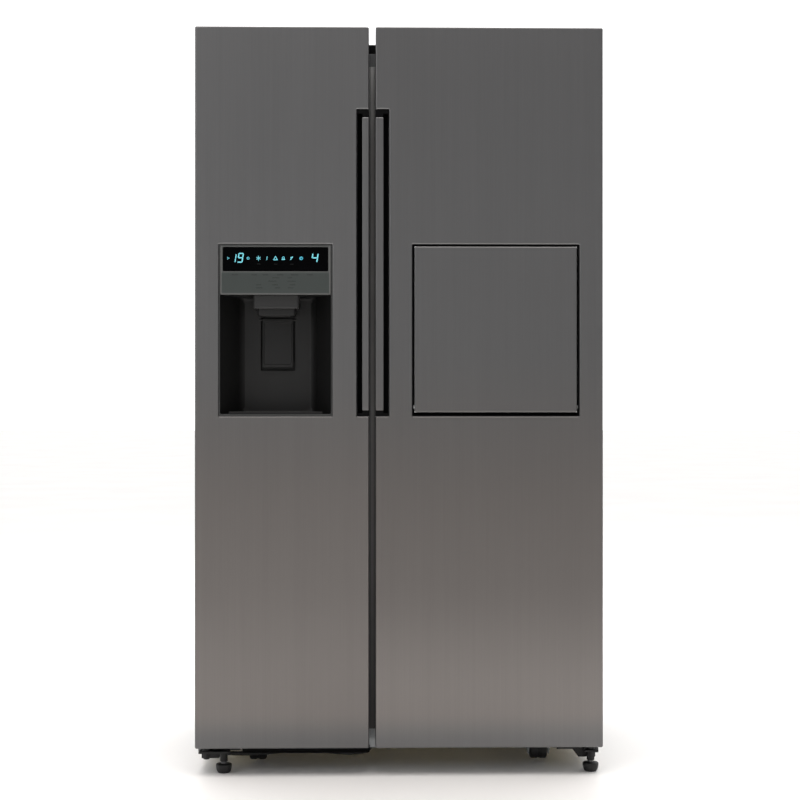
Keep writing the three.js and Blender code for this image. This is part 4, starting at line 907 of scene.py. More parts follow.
shelf_glass = finish("shelf glass", pane_finish, transmission_weight=0.9, ior=1.5)
clear_plastic = finish("clear plastic", clear_finish, transmission_weight=0.88, ior=1.45)
PANE_THICKNESS = 5
FRONT_RAIL = [(0, -3), (1.2, -7.5), (4, -9), (11, -9), (13.5, -7), (14, -5.2), (14, 0.8),
              (12.5, 3), (9, 7.8), (6, 9), (3, 8.2), (1, 5)]
BACK_RAIL = [(-8, -6), (-1, -6), (0, -5), (0, 10), (-1.5, 12), (-4, 12), (-6, 6), (-8, 1)]
for name in ("freezer_shelf", "crisper_cover", "fridge_shelf_lower", "fridge_shelf_upper"):
    low, high = limits(name)
    top = high.z - 7
    foot = top - PANE_THICKNESS
    plan = corners_of(low.x, high.x, low.y + 2, high.y - 1, 4)
    bm = bmesh.new()
    loft(bm, [
        level(outline(plan, 0.8), foot),
        level(outline(plan), foot + 0.7),
        level(outline(plan), top - 0.7),
        level(outline(plan, 0.8), top),
    ], first=True, last=True)
    bmesh.ops.recalc_face_normals(bm, faces=bm.faces)
    mount(show(f"{name}_pane", bm, shelf_glass), "cabinet", [name])
    bm = bmesh.new()
    for rail, y in ((FRONT_RAIL, low.y), (BACK_RAIL, high.y)):
        ends = [[(x, y + depth, foot + up) for depth, up in rail] for x in (low.x, high.x)]
        loft(bm, ends, first=True, last=True)
    bmesh.ops.recalc_face_normals(bm, faces=bm.faces)
    mount(show(f"{name}_rails", bm, white_plastic, sharp=50), "cabinet")

# ---------------------------------------------------------------------------------------
# The drawers, bins and ice bucket: injection moulded tubs of clear plastic with round
# corners, slightly narrower at the foot, and a turned-out rim for stiffness.


def tub(bm, x, y, z, wall=2.4, radius=10, draft=2.0, rim=1.6):
    """An open tub between two limits on each axis, from the outside round to the inside."""
    def plan(inset, corner):
        return outline(corners_of(x[0] + inset, x[1] - inset, y[0] + inset, y[1] - inset, corner))

    rings = [
        level(plan(draft + rim + 3, radius - 1), z[0]),
        level(plan(draft + rim + 0.8, radius), z[0] + 1.2),
        level(plan(draft + rim, radius), z[0] + 4),
        level(plan(rim, radius), z[1] - 8),
        level(plan(rim, radius), z[1] - 5),
        level(plan(0.3, radius + 1), z[1] - 4.4),
        level(plan(0, radius + 1), z[1] - 1),
        level(plan(0.8, radius), z[1]),
        level(plan(wall + rim - 0.4, radius - 2), z[1]),
        level(plan(wall + rim, radius - 2), z[1] - 1),
        level(plan(wall + rim + draft, radius - 2.4), z[0] + 5),
        level(plan(wall + rim + draft + 2.5, radius - 3), z[0] + wall),
    ]
    loft(bm, rings, first=True, last=True)


GRIP_HALF = 60  # the finger recess in the middle of a drawer's front


def drawer(name):
    """A tub behind a thick front plate with a finger recess near its upper edge."""
    low, high = limits(name)
    bm = bmesh.new()
    tub(bm, (low.x + 1, high.x - 1), (low.y + 8, high.y), (low.z, high.z - 3), radius=14)
    plate = corners_of(low.x, high.x, low.z, high.z, 6)
    middle_x = (low.x + high.x) / 2
    grip = corners_of(middle_x - GRIP_HALF, middle_x + GRIP_HALF, high.z - 34, high.z - 12, 9)
    rows = loft(bm, [
        upright(outline(plate, 2.5), low.y + 13.8),
        upright(outline(plate), low.y + 12),
        upright(outline(plate), low.y + 3),
        upright(outline(plate, 1), low.y + 0.8),
        upright(outline(plate, 3), low.y),
    ], first=True)
    recess = loft(bm, [
        upright(outline(grip, -1.4), low.y),
        upright(outline(grip, -0.3), low.y + 0.8),
        upright(outline(grip), low.y + 2),
        upright(outline(grip, 1), low.y + 8),
        upright(outline(grip, 3), low.y + 9),
    ], last=True)
    fill(bm, rows[-1], recess[0])
    bmesh.ops.recalc_face_normals(bm, faces=bm.faces)
    piece = show(f"{name}_moulding", bm, clear_plastic, sharp=40)
    piece.modifiers.new("even shading", "WEIGHTED_NORMAL").keep_sharp = True
    mount(piece, name, [name])


for stack in ("freezer_drawer", "crisper_drawer"):
    drawer(f"{stack}_lower")
    drawer(f"{stack}_upper")

# ---------------------------------------------------------------------------------------
# The ice maker, in a white housing under the freezer's ceiling, drops cubes into the clear
# plastic bucket below it. The bucket's spout meets the chute in the door.

dress("ice_maker", white_plastic, 1.5, segments=3)
low, high = limits("ice_bucket")
bm = bmesh.new()
bucket_front = limits("freezer_shelf")[0].y - 12
tub(bm, (low.x, high.x), (bucket_front, high.y), (low.z, high.z), radius=16)
spout_x = (limits("ice_chute")[0].x + limits("ice_chute")[1].x) / 2
spout = corners_of(spout_x - 35, spout_x + 35, low.z, low.z + 44, 6)
hollow = corners_of(spout_x - 32, spout_x + 32, low.z + 3, low.z + 41, 4)
loft(bm, [
    upright(outline(spout), bucket_front + 3),
    upright(outline(spout), low.y + 2),
    upright(outline(spout, 1.2), low.y),
    upright(outline(hollow), low.y + 0.2),
    upright(outline(hollow), bucket_front + 2),
], last=True)
bmesh.ops.recalc_face_normals(bm, faces=bm.faces)
bucket = show("ice_bucket_moulding", bm, clear_plastic, sharp=40)
mount(bucket, "ice_bucket", ["ice_bucket"])

# ---------------------------------------------------------------------------------------
# The door fronts: one sheet of brushed dark steel for each door. The sheet is rolled
# round the edges and into every opening, with its grain upright, and bonded to the foam.


def steel_finish(wire):
    """Grain and streaks along the sheet, with painted light: darker across the middle height and brighter
    above and below it, painted shade at the foot, a painted warm floor reflection low down, a painted
    difference between the two doors and painted shade on its bends.
    """
    place = wire.place()
    x, _, z = place.split()
    grain = place.stretched(1.0, 0.02, 0.006).noise(620.0, detail=3.0, roughness=0.6)
    streak = place.stretched(1.0, 0.02, 0.012).noise(70.0, detail=2.0)
    cloud = place.stretched(1.0, 1.0, 0.5).noise(3.0, detail=2.0)
    tone = (grain * 0.5 + streak * 0.3 + cloud * 0.2).between(0.25, 0.75)
    # Painted light by height: darker across the middle of the doors, brighter above and below, and painted
    # shade at the foot near the floor.
    upper = z.between(0.65, 1.35)
    foot = z.between(0.075, 0.15)
    lower = 1 - z.between(0.17, 0.46)
    depth = 0.78 + upper * 0.22 + lower * 0.27 - (1 - foot) * 0.22
    # Painted light: the freezer door a little brighter high up and darker low down than the fridge door.
    freezer_door_painted_light = 1.0 + (x < gap_middle * MM) * (0.07 - lower * 0.15)
    # Painted shade where the sheet bends round to face sideways.
    bend = wire.facing().split()[0].size().between(0.25, 0.8)
    shade = depth * freezer_door_painted_light * (1 - bend * 0.45) * (0.76 + tone * 0.07)
    # A painted warm reflection of the floor on the lower part of the doors.
    warm_floor_reflection = (1 - z.between(0.6, 1.0)) * foot
    steel = warm_floor_reflection.blend((0.247, 0.2465, 0.248), (0.265, 0.2465, 0.236))
    return {
        "Base Color": shade.blend((0.0, 0.0, 0.0), steel),
        "Roughness": 0.34 + 0.06 * grain,
        "Normal": grain.bump(0.00005, 0.2),
    }


BEND = 3.2  # outside radius of the sheet at every edge
FLANGE = 6  # of the rolled edges of the openings
FIT = 0.3  # between the sheet and a moulding let into it
PIVOT = 24  # from the door's outer edge
HINGE_POCKET = 13  # half the width of the pocket at the hinge, from the pivot
SLOT_BACK = 34  # from the door's front to the back of the handle's channel

door_steel = finish("brushed door steel", steel_finish, metallic=1.0)


def door_front(name, side, prefix, opening):
    """One rolled sheet: the face, the bends, the returns and the lips of the openings."""
    low, high = limits(f"{prefix}_door_skin")
    front = low.y
    pocket_low, pocket_high = limits(f"{prefix}_handle_pocket")
    outer, free = (low.x, high.x) if side < 0 else (high.x, low.x)
    notch_x = pocket_low.x - FIT if side < 0 else pocket_high.x + FIT
    notch_low, notch_high = pocket_low.z - FIT, pocket_high.z + FIT
    hinge_x = outer - side * (PIVOT + HINGE_POCKET)
    hinge_low = limits("top_cover")[0].z - 3
    edge = [
        (outer, low.z, 4.0), (free, low.z, 4.0),
        (free, notch_low, 3.6), (notch_x, notch_low, 1.5),
        (notch_x, notch_high, 1.5), (free, notch_high, 3.6),
        (free, high.z, 4.0), (hinge_x, high.z, 0.0),
        (outer, high.z, 4.0), (outer, hinge_low, 0.0),
    ]
    if side > 0:
        edge.reverse()

    def at_hinge(p):
        return p.y > front + BEND + 0.3 and side * (p.x - hinge_x) > 0 and p.z > hinge_low

    def in_notch(p):
        return notch_low - 1 < p.z < notch_high + 1 and side * (p.x - free) > -0.5

    bm = bmesh.new()
    rings = [upright(outline(edge, inset), front + depth) for inset, depth in roll(BEND)]
    rows = loft(bm, rings)
    straight = [upright(outline(edge), front + depth) for depth in (BEND, BEND + FLANGE)]
    loft(bm, straight, skip=at_hinge)
    back = [upright(outline(edge), front + depth) for depth in (BEND + FLANGE, high.y - front)]
    loft(bm, back, skip=lambda p: at_hinge(p) or in_notch(p))
    behind = [(free, front + SLOT_BACK, pocket_low.z), (free, front + SLOT_BACK, pocket_high.z),
              (free, high.y, pocket_high.z), (free, high.y, pocket_low.z)]
    bm.faces.new([bm.verts.new(p) for p in behind])
    hole = corners_of(*opening, 1.6)
    rolled = roll(BEND, inward=False)
    lips = [upright(outline(hole, inset), front + depth) for inset, depth in rolled]
    lips.append(upright(outline(hole), front + BEND + FLANGE))
    lip_rows = loft(bm, lips)
    bmesh.ops.remove_doubles(bm, verts=bm.verts, dist=0.001)
    bm.verts.ensure_lookup_table()
    fill(bm, [v for v in rows[0] if v.is_valid], [v for v in lip_rows[0] if v.is_valid])
    bmesh.ops.recalc_face_normals(bm, faces=bm.faces)
    piece = show(name, bm, door_steel)
    sheet_metal(piece, 0.9)
    mount(piece, f"{prefix}_door", [f"{prefix}_door_skin"])


def opening_for(node):
    """The limits of the hole that a moulding fits in."""
    low, high = limits(node)
    return low.x - FIT, high.x + FIT, low.z - FIT, high.z + FIT


door_front("freezer_door_front", -1, "freezer", opening_for("dispenser_housing"))
door_front("fridge_door_front", 1, "fridge", opening_for("homebar_frame"))

# ---------------------------------------------------------------------------------------
# The foamed core of each door and its vacuum-formed liner, seen as a white rim behind the
# steel. The core's front edge keeps clear of the bends in the sheet.

INNER_SIDE = 40  # how deep the edges that are rounded lie, from the back of the liner
FOLD = 0.6  # an edge sharper than this, in radians, is rounded


def door_core(prefix):
    """The core as the CAD has it, with its front face drawn back behind the rolled edges."""
    source = nodes[f"{prefix}_door_liner"].data
    bm = bmesh.new()
    bm.from_mesh(source)
    bm.transform(Matrix.Scale(1 / MM, 4))
    bmesh.ops.remove_doubles(bm, verts=bm.verts, dist=0.01)
    bmesh.ops.dissolve_limit(bm, angle_limit=0.01, verts=bm.verts, edges=bm.edges)
    front = min(v.co.y for v in bm.verts)
    for vert in bm.verts:
        if vert.co.y < front + 0.1:
            vert.co.y = front + BEND - 1.1
    rim = max(v.co.y for v in bm.verts) - INNER_SIDE
    edges = [e for e in bm.edges
             if len(e.link_faces) == 2 and e.calc_face_angle(0) > FOLD
             and min(v.co.y for v in e.verts) > rim]
    bmesh.ops.bevel(bm, geom=edges, offset=1.6, segments=3, affect="EDGES", clamp_overlap=True)
    piece = show(f"{prefix}_door_core", bm, white_plastic, sharp=30)
    piece.modifiers.new("even shading", "WEIGHTED_NORMAL").keep_sharp = True
    mount(piece, f"{prefix}_door", [f"{prefix}_door_liner"])


door_core("freezer")
door_core("fridge")

# ---------------------------------------------------------------------------------------
# The handles: each door's free edge has a deep black channel. A steel bar closes its
# front half, so fingers hook in behind it from the slot.

POCKET_ROUND = 0.7
for prefix in ("freezer", "fridge"):
    dress(f"{prefix}_handle_pocket", black_plastic, POCKET_ROUND)
    low, high = limits(f"{prefix}_handle_bar")
    bm = bmesh.new()
    bar_edge = corners_of(low.x, high.x, low.z, high.z, 2.6)
    rings = [upright(outline(bar_edge, inset), low.y + depth) for inset, depth in roll(2.4)]
    rings.append(upright(outline(bar_edge), high.y))
    loft(bm, rings, first=True, last=True)
    bmesh.ops.recalc_face_normals(bm, faces=bm.faces)
    bar = show(f"{prefix}_steel_handle", bm, door_steel)
    bar.modifiers.new("even shading", "WEIGHTED_NORMAL").keep_sharp = True
    mount(bar, f"{prefix}_door", [f"{prefix}_handle_bar"])

# ---------------------------------------------------------------------------------------
# The dispenser: one black plastic moulding fills the opening, with a thin grey rim round
# the control panel. Below the panel the walls of the niche run back and close in with
# round corners to a flat back, which has a recess for the paddle.


def moulded(name, dark, pale, shine=0.3):
    """A fine-grained moulding whose tone drifts between two screen colours."""
    def recipe(wire):
        grain = wire.place().noise(1300.0, detail=3.0)
        tone = wire.place().noise(6.0, detail=2.0).blend(colour(*dark), colour(*pale))
        return {"Base Color": tone, "Roughness": 0.40 + 0.15 * grain, "Normal": grain.bump(0.00015, 0.3)}

    return finish(name, recipe, specular_ior_level=shine)


niche_plastic = moulded("niche plastic", (29, 29, 29), (33, 33, 33))
# A darker copy of the niche plastic for its side walls and mouth: painted shade, where less light reaches.
niche_wall_painted_shade = moulded("niche plastic in painted shade", (17, 17, 17), (21, 21, 21), shine=0.2)
rim_plastic = moulded("rim plastic", (54, 55, 55), (60, 61, 61))
chute_plastic = moulded("chute plastic", (50, 50, 50), (54, 54, 54))
NICHE_BACK = 95  # from the door's front, as are the depths below
NICHE_MOUTH = 12
RIM_BACK = 9.3
RIM_EDGE = 1.6
RIM_FACE = 1.1
RIM_WIDTH = 2.2
NICHE_HALF = 86
NICHE_ROUND = 14
RECESS_HALF = 40.5
RECESS_DEPTH = 11
front = limits("freezer_door_skin")[0].y
dispenser_low, dispenser_high = limits("dispenser_housing")
panel_low, panel_high = limits("control_panel")
paddle_low, paddle_high = limits("dispenser_paddle")
middle = (dispenser_low.x + dispenser_high.x) / 2
ceiling = panel_low.z
niche_floor = dispenser_low.z + 4.7
wide = (dispenser_high.x - dispenser_low.x) / 2 - RIM_WIDTH

bm = bmesh.new()
mouth = corners_of(dispenser_low.x, dispenser_high.x, dispenser_low.z, dispenser_high.z, 1.5)
inner = corners_of(middle - wide, middle + wide, niche_floor, panel_high.z + 0.3, 2.5)
loft(bm, [
    upright(outline(mouth), front + NICHE_MOUTH),
    upright(outline(mouth), front + RIM_EDGE),
    upright(outline(mouth, 0.5), front + RIM_FACE),
    upright(outline(inner, -0.5), front + RIM_FACE),
    upright(outline(inner), front + RIM_EDGE),
    upright(outline(inner), front + RIM_BACK),
])


def niche_ring(half, depth, trim, radius):
    """A ring of the niche at one depth, moved in from its floor and ceiling."""
    shape = corners_of(middle - half, middle + half, niche_floor + trim, ceiling - trim, radius)
    return upright(outline(shape), front + depth)


slope = (wide - NICHE_HALF) / (NICHE_BACK - NICHE_MOUTH)
walls = [niche_ring(wide, RIM_BACK, 0, 3), niche_ring(wide, NICHE_MOUTH, 0, 3.2)]
for k in range(7):
    turn = math.radians(15 * k)
    depth = NICHE_BACK - NICHE_ROUND + NICHE_ROUND * math.sin(turn)
    draw = NICHE_ROUND * (1 - math.cos(turn))
    half = wide - slope * (depth - NICHE_MOUTH) - draw * 0.8
    walls.append(niche_ring(half, depth, draw * 0.6, 3.2 + draw * 0.6))
rows = loft(bm, walls)
recess = corners_of(middle - RECESS_HALF, middle + RECESS_HALF, paddle_low.z - 6, paddle_high.z + 4, 3)
recess_rows = loft(bm, [
    upright(outline(recess), front + NICHE_BACK),
    upright(outline(recess, 0.8), front + NICHE_BACK + 0.8),
    upright(outline(recess, 0.8), front + NICHE_BACK + RECESS_DEPTH),
], last=True)
fill(bm, rows[-1], recess_rows[0])
bmesh.ops.recalc_face_normals(bm, faces=bm.faces)
housing = show("dispenser_niche", bm, niche_plastic, niche_wall_painted_shade, rim_plastic, sharp=40)
for face in housing.data.polygons:
    # Faces turned sideways and those close to the mouth take the darker copy, as painted shade.
    sideways = abs(face.normal.x) > 0.35 or face.center.y < (front + 12.5) * MM
    rim = face.center.y < (front + 1.7) * MM or face.center.z > (ceiling + 1) * MM
    face.material_index = 2 if rim else 1 if sideways else 0
housing.modifiers.new("even shading", "WEIGHTED_NORMAL").keep_sharp = True
mount(housing, "freezer_door", ["dispenser_housing"])

# ---------------------------------------------------------------------------------------
# The control panel: a grey-green plastic fascia, lighter along its edges, with a pane of
# black glass let into its upper part.

panel_front = panel_low.y
glass_low, glass_high = limits("display_window")
bm = bmesh.new()
edge = corners_of(panel_low.x, panel_high.x, panel_low.z, panel_high.z, 2.2)
window = corners_of(glass_low.x - 0.3, glass_high.x + 0.3, glass_low.z - 0.3, glass_high.z + 0.3, 1.8)
border = loft(bm, [
    upright(outline(edge), panel_high.y),
    upright(outline(edge), panel_front + 0.8),
    upright(outline(edge, 0.7), panel_front),
])
pane = loft(bm, [
    upright(outline(window, -0.4), panel_front),
    upright(outline(window), panel_front + 0.5),
    upright(outline(window), panel_front + 3.4),
], last=True)
fill(bm, border[-1], pane[0])
bmesh.ops.recalc_face_normals(bm, faces=bm.faces)


def fascia_finish(wire):
    """Light at its edges and just under the glass, greener in the middle."""
    x, _, z = wire.place().split()
    half = (panel_high.x - panel_low.x) / 2 * MM
    side = (x - middle * MM).size()
    near_side = side.between(half - 5 * MM, half - 2.5 * MM)
    near_low = 1 - (z - panel_low.z * MM).between(2 * MM, 5 * MM)
    near_glass = (z - (glass_low.z - 7) * MM).between(0.0, 6 * MM)
    lit = (near_side + near_low + near_glass * 0.6).between(0.0, 1.0)
    grain = wire.place().noise(1300.0, detail=3.0)
    tone = lit.blend(colour(52, 58, 56), colour(88, 89, 88))
    return {"Base Color": tone, "Roughness": 0.38 + 0.1 * grain, "Normal": grain.bump(0.0001, 0.3)}


fascia = show("control_fascia", bm, finish("printed fascia", fascia_finish), sharp=40)
fascia.modifiers.new("even shading", "WEIGHTED_NORMAL").keep_sharp = True
mount(fascia, "freezer_door", ["control_panel"])


def glass_finish(wire):
    haze = wire.place().noise(40.0, detail=2.0)
    return {"Base Color": haze.blend((0.0004, 0.0004, 0.0005), (0.001, 0.001, 0.0014)),
            "Roughness": 0.10 + 0.05 * haze}


display_glass = finish("black display glass", glass_finish, specular_ior_level=0.06)
dress("display_window", display_glass, 0.4)

# ---------------------------------------------------------------------------------------
# The lit signs behind the glass, and the prints on the fascia: two slanted figures, a row
# of small signs and a large figure glow pale blue. All of them are generic.

SLANT = 0.16
END_GAP = 0.12  # share of a figure's segment that is dark at each end


def lit_finish(wire):
    cell = wire.place().noise(900.0, detail=1.0)
    tone = cell.between(0.3, 0.7).blend(colour(96, 190, 205), colour(130, 215, 225))
    return {"Base Color": tone, "Emission Color": tone, "Roughness": 0.4 + 0.1 * cell}


def print_finish(wire):
    cell = wire.place().noise(1800.0, detail=2.0)
    tone = cell.blend(colour(12, 15, 14), colour(24, 28, 27))
    return {"Base Color": tone, "Roughness": 0.5 + 0.1 * cell}


lit_sign = finish("lit signs", lit_finish, emission_strength=0.3)
faint_sign = finish("faint signs", print_finish)


def stroke(bm, a, b, width, y, thickness=0.15):
    """A thin raised bar with round ends from one point to another, on an upright face."""
    a, b = Vector(a), Vector(b)
    along = (b - a).normalized() if (b - a).length > 1e-6 else Vector((1, 0))
    across = Vector((-along.y, along.x)) * width / 2
    ends = []
    for centre, facing in ((b, 1), (a, -1)):
        for k in range(7):
            angle = math.pi * (k / 6 - 0.5)
            ends.append(centre + facing * (along * math.cos(angle) * width / 2 + across * math.sin(angle)))
    loft(bm, [upright(ends, y), upright(ends, y - thickness)], last=True)


SEGMENTS = {
    "a": ((0, 2), (1, 2)), "b": ((1, 2), (1, 1)), "c": ((1, 1), (1, 0)), "d": ((0, 0), (1, 0)),
    "e": ((0, 1), (0, 0)), "f": ((0, 2), (0, 1)), "g": ((0, 1), (1, 1)),
}


def figure(bm, lit, x, z, width, height, y, line):
    """A figure of straight lit segments, leaning a little to the right."""
    for name in lit:
        ends = []
        for across, up in SEGMENTS[name]:
            ends.append((x + across * width + up * height / 2 * SLANT, z + up * height / 2))
        a, b = Vector(ends[0]), Vector(ends[1])
        stroke(bm, a.lerp(b, END_GAP), b.lerp(a, END_GAP), line, y)


glass_front = glass_low.y
sign_line = (glass_low.z + glass_high.z) / 2 + 2
bm = bmesh.new()
figure(bm, "bc", glass_low.x + 22, sign_line - 9, 6, 18, glass_front, 2.2)
figure(bm, "abcdfg", glass_low.x + 34, sign_line - 9, 10, 20, glass_front, 2.6)
figure(bm, "bcfg", glass_high.x - 38, sign_line - 8.5, 12, 19, glass_front, 2.8)
tip = glass_low.x + 15
stroke(bm, (tip - 5, sign_line + 2.2), (tip, sign_line), 0.9, glass_front)
stroke(bm, (tip, sign_line), (tip - 5, sign_line - 2.2), 0.9, glass_front)
bmesh.ops.recalc_face_normals(bm, faces=bm.faces)
mount(show("display_figures", bm, lit_sign), "freezer_door")


def ring_of_strokes(bm, x, z, radius, count, line, y, turn=0.0):
    """A ring of straight strokes with that many corners."""
    angles = [turn + 2 * math.pi * k / count for k in range(count)]
    corner = [(x + radius * math.cos(a), z + radius * math.sin(a)) for a in angles]
    for a, b in zip(corner, corner[1:] + corner[:1]):
        stroke(bm, a, b, line, y)


bm = bmesh.new()
spots = [glass_low.x + share for share in (58, 82, 101, 121, 139, 158, 180)]
ring_of_strokes(bm, spots[0], sign_line, 2.6, 8, 1.6, glass_front)
for k in range(3):
    angle = math.pi * k / 3 + math.pi / 6
    reach = Vector((math.cos(angle), math.sin(angle))) * 5
    at = Vector((spots[1], sign_line))
    stroke(bm, at - reach, at + reach, 1.3, glass_front)
stroke(bm, (spots[2], sign_line - 3.5), (spots[2] + 0.8, sign_line + 3.5), 1.5, glass_front)
ring_of_strokes(bm, spots[3], sign_line - 1, 5.2, 3, 1.6, glass_front, math.pi / 2)
stroke(bm, (spots[4] - 3, sign_line - 2.5), (spots[4] + 3, sign_line - 2.5), 2.4, glass_front)
ring_of_strokes(bm, spots[4], sign_line + 1, 2.6, 6, 1.4, glass_front)
stroke(bm, (spots[5] - 2.5, sign_line - 3), (spots[5] + 2.5, sign_line + 3), 1.8, glass_front)
stroke(bm, (spots[5] - 2.5, sign_line + 1), (spots[5] + 1, sign_line + 3.5), 1.4, glass_front)
ring_of_strokes(bm, spots[6], sign_line, 3.0, 8, 2.4, glass_front)
bmesh.ops.recalc_face_normals(bm, faces=bm.faces)
mount(show("display_signs", bm, lit_sign), "freezer_door")

# The prints are rows of short strokes of uneven length, each group as wide as a word.
random.seed(7)
bm = bmesh.new()
for spot in (spots[1], spots[3], spots[5]):
    for k in range(-2, 3):
        x = spot + k * 1.7
        stroke(bm, (x, sign_line - 13), (x + 0.5, sign_line - 13.8), 0.7, glass_front)
rows_of_words = [
    (glass_low.z - 8, [-92, -48, -22, 12, 45, 80], 1.5),
    (glass_low.z - 15, [2, 34], 1.2),
    (glass_low.z - 23, [-6, 38], 1.2),
    (glass_low.z - 31, [-38, 0, 40], 1.4),
    (glass_low.z - 38, [-36, 6, 36], 1.4),
]
for height, words, tall in rows_of_words:
    for centre in words:
        letters = random.randint(5, 9)
        for k in range(letters):
            x = middle + centre + (k - letters / 2) * 2.1
            lean = random.uniform(-0.6, 0.6)
            stroke(bm, (x - lean, height - tall), (x + lean, height + tall * random.uniform(0.2, 1)),
                   1.0, panel_front, 0.06)
bmesh.ops.recalc_face_normals(bm, faces=bm.faces)
mount(show("fascia_prints", bm, faint_sign), "freezer_door")

# ---------------------------------------------------------------------------------------
# The ice chute under the ceiling of the niche, in two tiers with round front corners, and
# the paddle that a glass pushes back: a plate with a raised border on a hinge pin.


def rounded_tier(x0, x1, y0, y1, low, high, lip):
    """The rings of a tier with round upright front edges and a rolled lower edge."""
    plan = [(x0, y0, 7), (x1, y0, 7), (x1, y1, 0.8), (x0, y1, 0.8)]
    return [
        level(outline(plan), high),
        level(outline(plan), low + lip),
        level(outline(plan, 0.4), low + lip * 0.35),
        level(outline(plan, 1.4), low),
    ]


UPPER_TIER = 30
LOWER_TIER_IN = 9  # from the sides of the upper tier
LOWER_TIER_BACK = 12  # from the front of the upper tier
chute_low, chute_high = limits("ice_chute")
passage = corners_of(middle - 30, middle + 30, chute_high.y - 24, chute_high.y - 4, 3)
bm = bmesh.new()
upper = rounded_tier(chute_low.x, chute_high.x, chute_low.y, chute_high.y,
                     chute_high.z - UPPER_TIER, chute_high.z, 3)
loft(bm, upper, first=True, last=True)
lower = rounded_tier(chute_low.x + LOWER_TIER_IN, chute_high.x - LOWER_TIER_IN,
                     chute_low.y + LOWER_TIER_BACK, chute_high.y - 0.5,
                     chute_low.z, chute_high.z - UPPER_TIER + 1, 2.4)
lower_rows = loft(bm, lower)
mouth_rows = loft(bm, [
    level(outline(passage, -1.2), chute_low.z),
    level(outline(passage), chute_low.z + 1.5),
    level(outline(passage), chute_high.z - 14),
], last=True)
fill(bm, lower_rows[-1], mouth_rows[0])
bmesh.ops.recalc_face_normals(bm, faces=bm.faces)
chute = show("chute_tiers", bm, chute_plastic, niche_plastic, sharp=40)
for face in chute.data.polygons:
    face.material_index = 1 if face.center.z < (chute_high.z - UPPER_TIER - 0.2) * MM else 0
chute.modifiers.new("even shading", "WEIGHTED_NORMAL").keep_sharp = True
mount(chute, "freezer_door", ["ice_chute"])

PADDLE_LEAN = 0.06
PADDLE_HALF = 36.5
PADDLE_HEIGHT = 116.5
PIN_RADIUS = 3
pivot_z = paddle_high.z - PIN_RADIUS
bm = bmesh.new()
plate = corners_of(-PADDLE_HALF, PADDLE_HALF, PIN_RADIUS - PADDLE_HEIGHT, PIN_RADIUS, 3.5)
panel = corners_of(-PADDLE_HALF + 5, PADDLE_HALF - 5, 12 - PADDLE_HEIGHT, -7, 3.5)
loft(bm, [
    upright(outline(plate, 0.8), 0),
    upright(outline(plate), -0.8),
    upright(outline(plate), -3.6),
    upright(outline(plate, 1.4), -5),
    upright(outline(panel, -1.6), -5),
    upright(outline(panel), -3.4),
    upright(outline(panel, 3), -3.2),
], first=True, last=True)
angles = [k * math.pi / 8 for k in range(16)]
circle = [(PIN_RADIUS * math.cos(a), PIN_RADIUS * math.sin(a)) for a in angles]
for side in (-1, 1):
    ends = [[(side * x, y, z) for y, z in circle] for x in (PADDLE_HALF - 1, PADDLE_HALF + 7)]
    loft(bm, ends, first=True, last=True)
lean = Matrix.Rotation(-PADDLE_LEAN, 4, "X")
bm.transform(Matrix.Translation((middle, front + NICHE_BACK + 1, pivot_z)) @ lean)
bmesh.ops.recalc_face_normals(bm, faces=bm.faces)
paddle = show("paddle_plate", bm, niche_plastic, sharp=40)
paddle.modifiers.new("even shading", "WEIGHTED_NORMAL").keep_sharp = True
mount(paddle, "dispenser_paddle", ["dispenser_paddle"])

# ---------------------------------------------------------------------------------------
# The drip tray: a slotted tray of the niche's plastic that lifts out of its floor. The
# edges are slightly round.

dress("drip_tray", niche_plastic, 0.5)

# ---------------------------------------------------------------------------------------
# The home bar: a steel-faced flap hinged at its lower edge in a black moulding, with a
# push latch over it. The face is a small pan of door steel with rolled edges.

FLAP_CORNER = 3.6
FLAP_BEND = 3.0
FLAP_RETURN = 9  # how deep the pan's sides are
flap_low, flap_high = limits("homebar_flap_face")
bm = bmesh.new()
flap_edge = corners_of(flap_low.x, flap_high.x, flap_low.z, flap_high.z, FLAP_CORNER)
rings = [upright(outline(flap_edge, inset), flap_low.y + depth) for inset, depth in roll(FLAP_BEND)]
rings.append(upright(outline(flap_edge), flap_low.y + FLAP_RETURN))
loft(bm, rings, first=True)
bmesh.ops.recalc_face_normals(bm, faces=bm.faces)
flap = show("flap_front", bm, door_steel)
sheet_metal(flap, 0.8)
mount(flap, "homebar_flap", ["homebar_flap_face"])
dress("homebar_flap_inner", white_plastic, 1.2)
dress("homebar_frame", black_plastic, 0.6)
dress("homebar_latch", chute_plastic, 1.0)

# ---------------------------------------------------------------------------------------
# The seals: magnetic rubber gaskets pushed into a groove round the back of each door. A
# bellows section lets the soft front lip reach the cabinet.


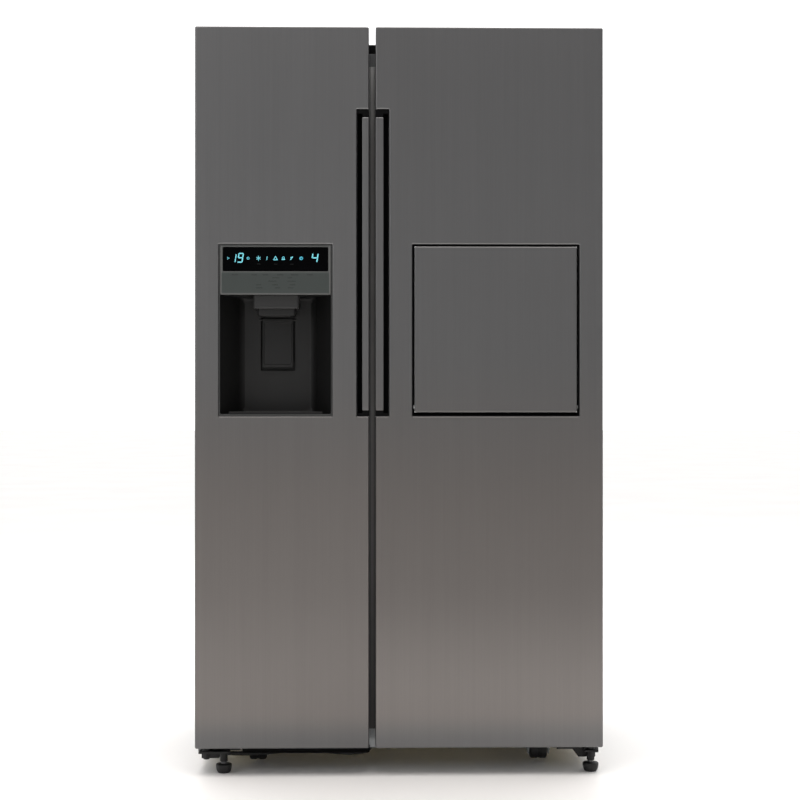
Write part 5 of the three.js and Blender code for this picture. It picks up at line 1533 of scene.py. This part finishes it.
def rubber_finish(wire):
    bloom = wire.place().noise(110.0, detail=3.0)
    return {"Base Color": bloom.blend(colour(58, 59, 60), colour(72, 73, 74)),
            "Roughness": 0.6 + 0.15 * bloom}


seal_rubber = finish("seal rubber", rubber_finish)
BELLOWS = [(0.4, 0.0), (0.0, 1.6), (1.6, 2.8), (1.6, 3.6), (0.2, 5.0), (0.8, 7.0), (2.6, 8.0), (8.0, 7.6),
           (13.4, 8.0), (15.2, 7.0), (15.8, 5.0), (14.4, 3.6), (14.4, 2.8), (16.0, 1.6), (15.6, 0.0)]
SEAL_CORNER = 16.5
for prefix in ("freezer", "fridge"):
    low, high = limits(f"{prefix}_door_gasket")
    around = corners_of(low.x, high.x, low.z, high.z, SEAL_CORNER)
    rings = [upright(outline(around, inset, steps=5), low.y + depth) for inset, depth in BELLOWS]
    bm = bmesh.new()
    loft(bm, rings, wrap=True)
    bmesh.ops.recalc_face_normals(bm, faces=bm.faces)
    seal = show(f"{prefix}_seal", bm, seal_rubber, sharp=60)
    mount(seal, f"{prefix}_door", [f"{prefix}_door_gasket"])

# ---------------------------------------------------------------------------------------
# The door bins: clear plastic tubs that hang between the ridges of the liners. A clear box
# closes the home bar towards the inside.

for name in ("freezer_bin_lower", "freezer_bin_upper", "fridge_bin_lower", "fridge_bin_upper"):
    low, high = limits(name)
    bm = bmesh.new()
    tub(bm, (low.x, high.x), (low.y, high.y), (low.z, high.z), radius=11)
    for up in (28, 48, 68):
        z = low.z + up
        rib = corners_of(low.x + 20, high.x - 20, z, z + 4, 1.9)
        loft(bm, [upright(outline(rib), high.y - 3.0), upright(outline(rib, 0.8), high.y - 1.4)], last=True)
    bmesh.ops.recalc_face_normals(bm, faces=bm.faces)
    piece = show(f"{name}_moulding", bm, clear_plastic, sharp=40)
    mount(piece, f"{name.split('_')[0]}_door", [name])
dress("homebar_box", clear_plastic, 1.0)

# ---------------------------------------------------------------------------------------
# The overall size with the rebuilt pieces; the size without them was taken at the start.

low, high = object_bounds()
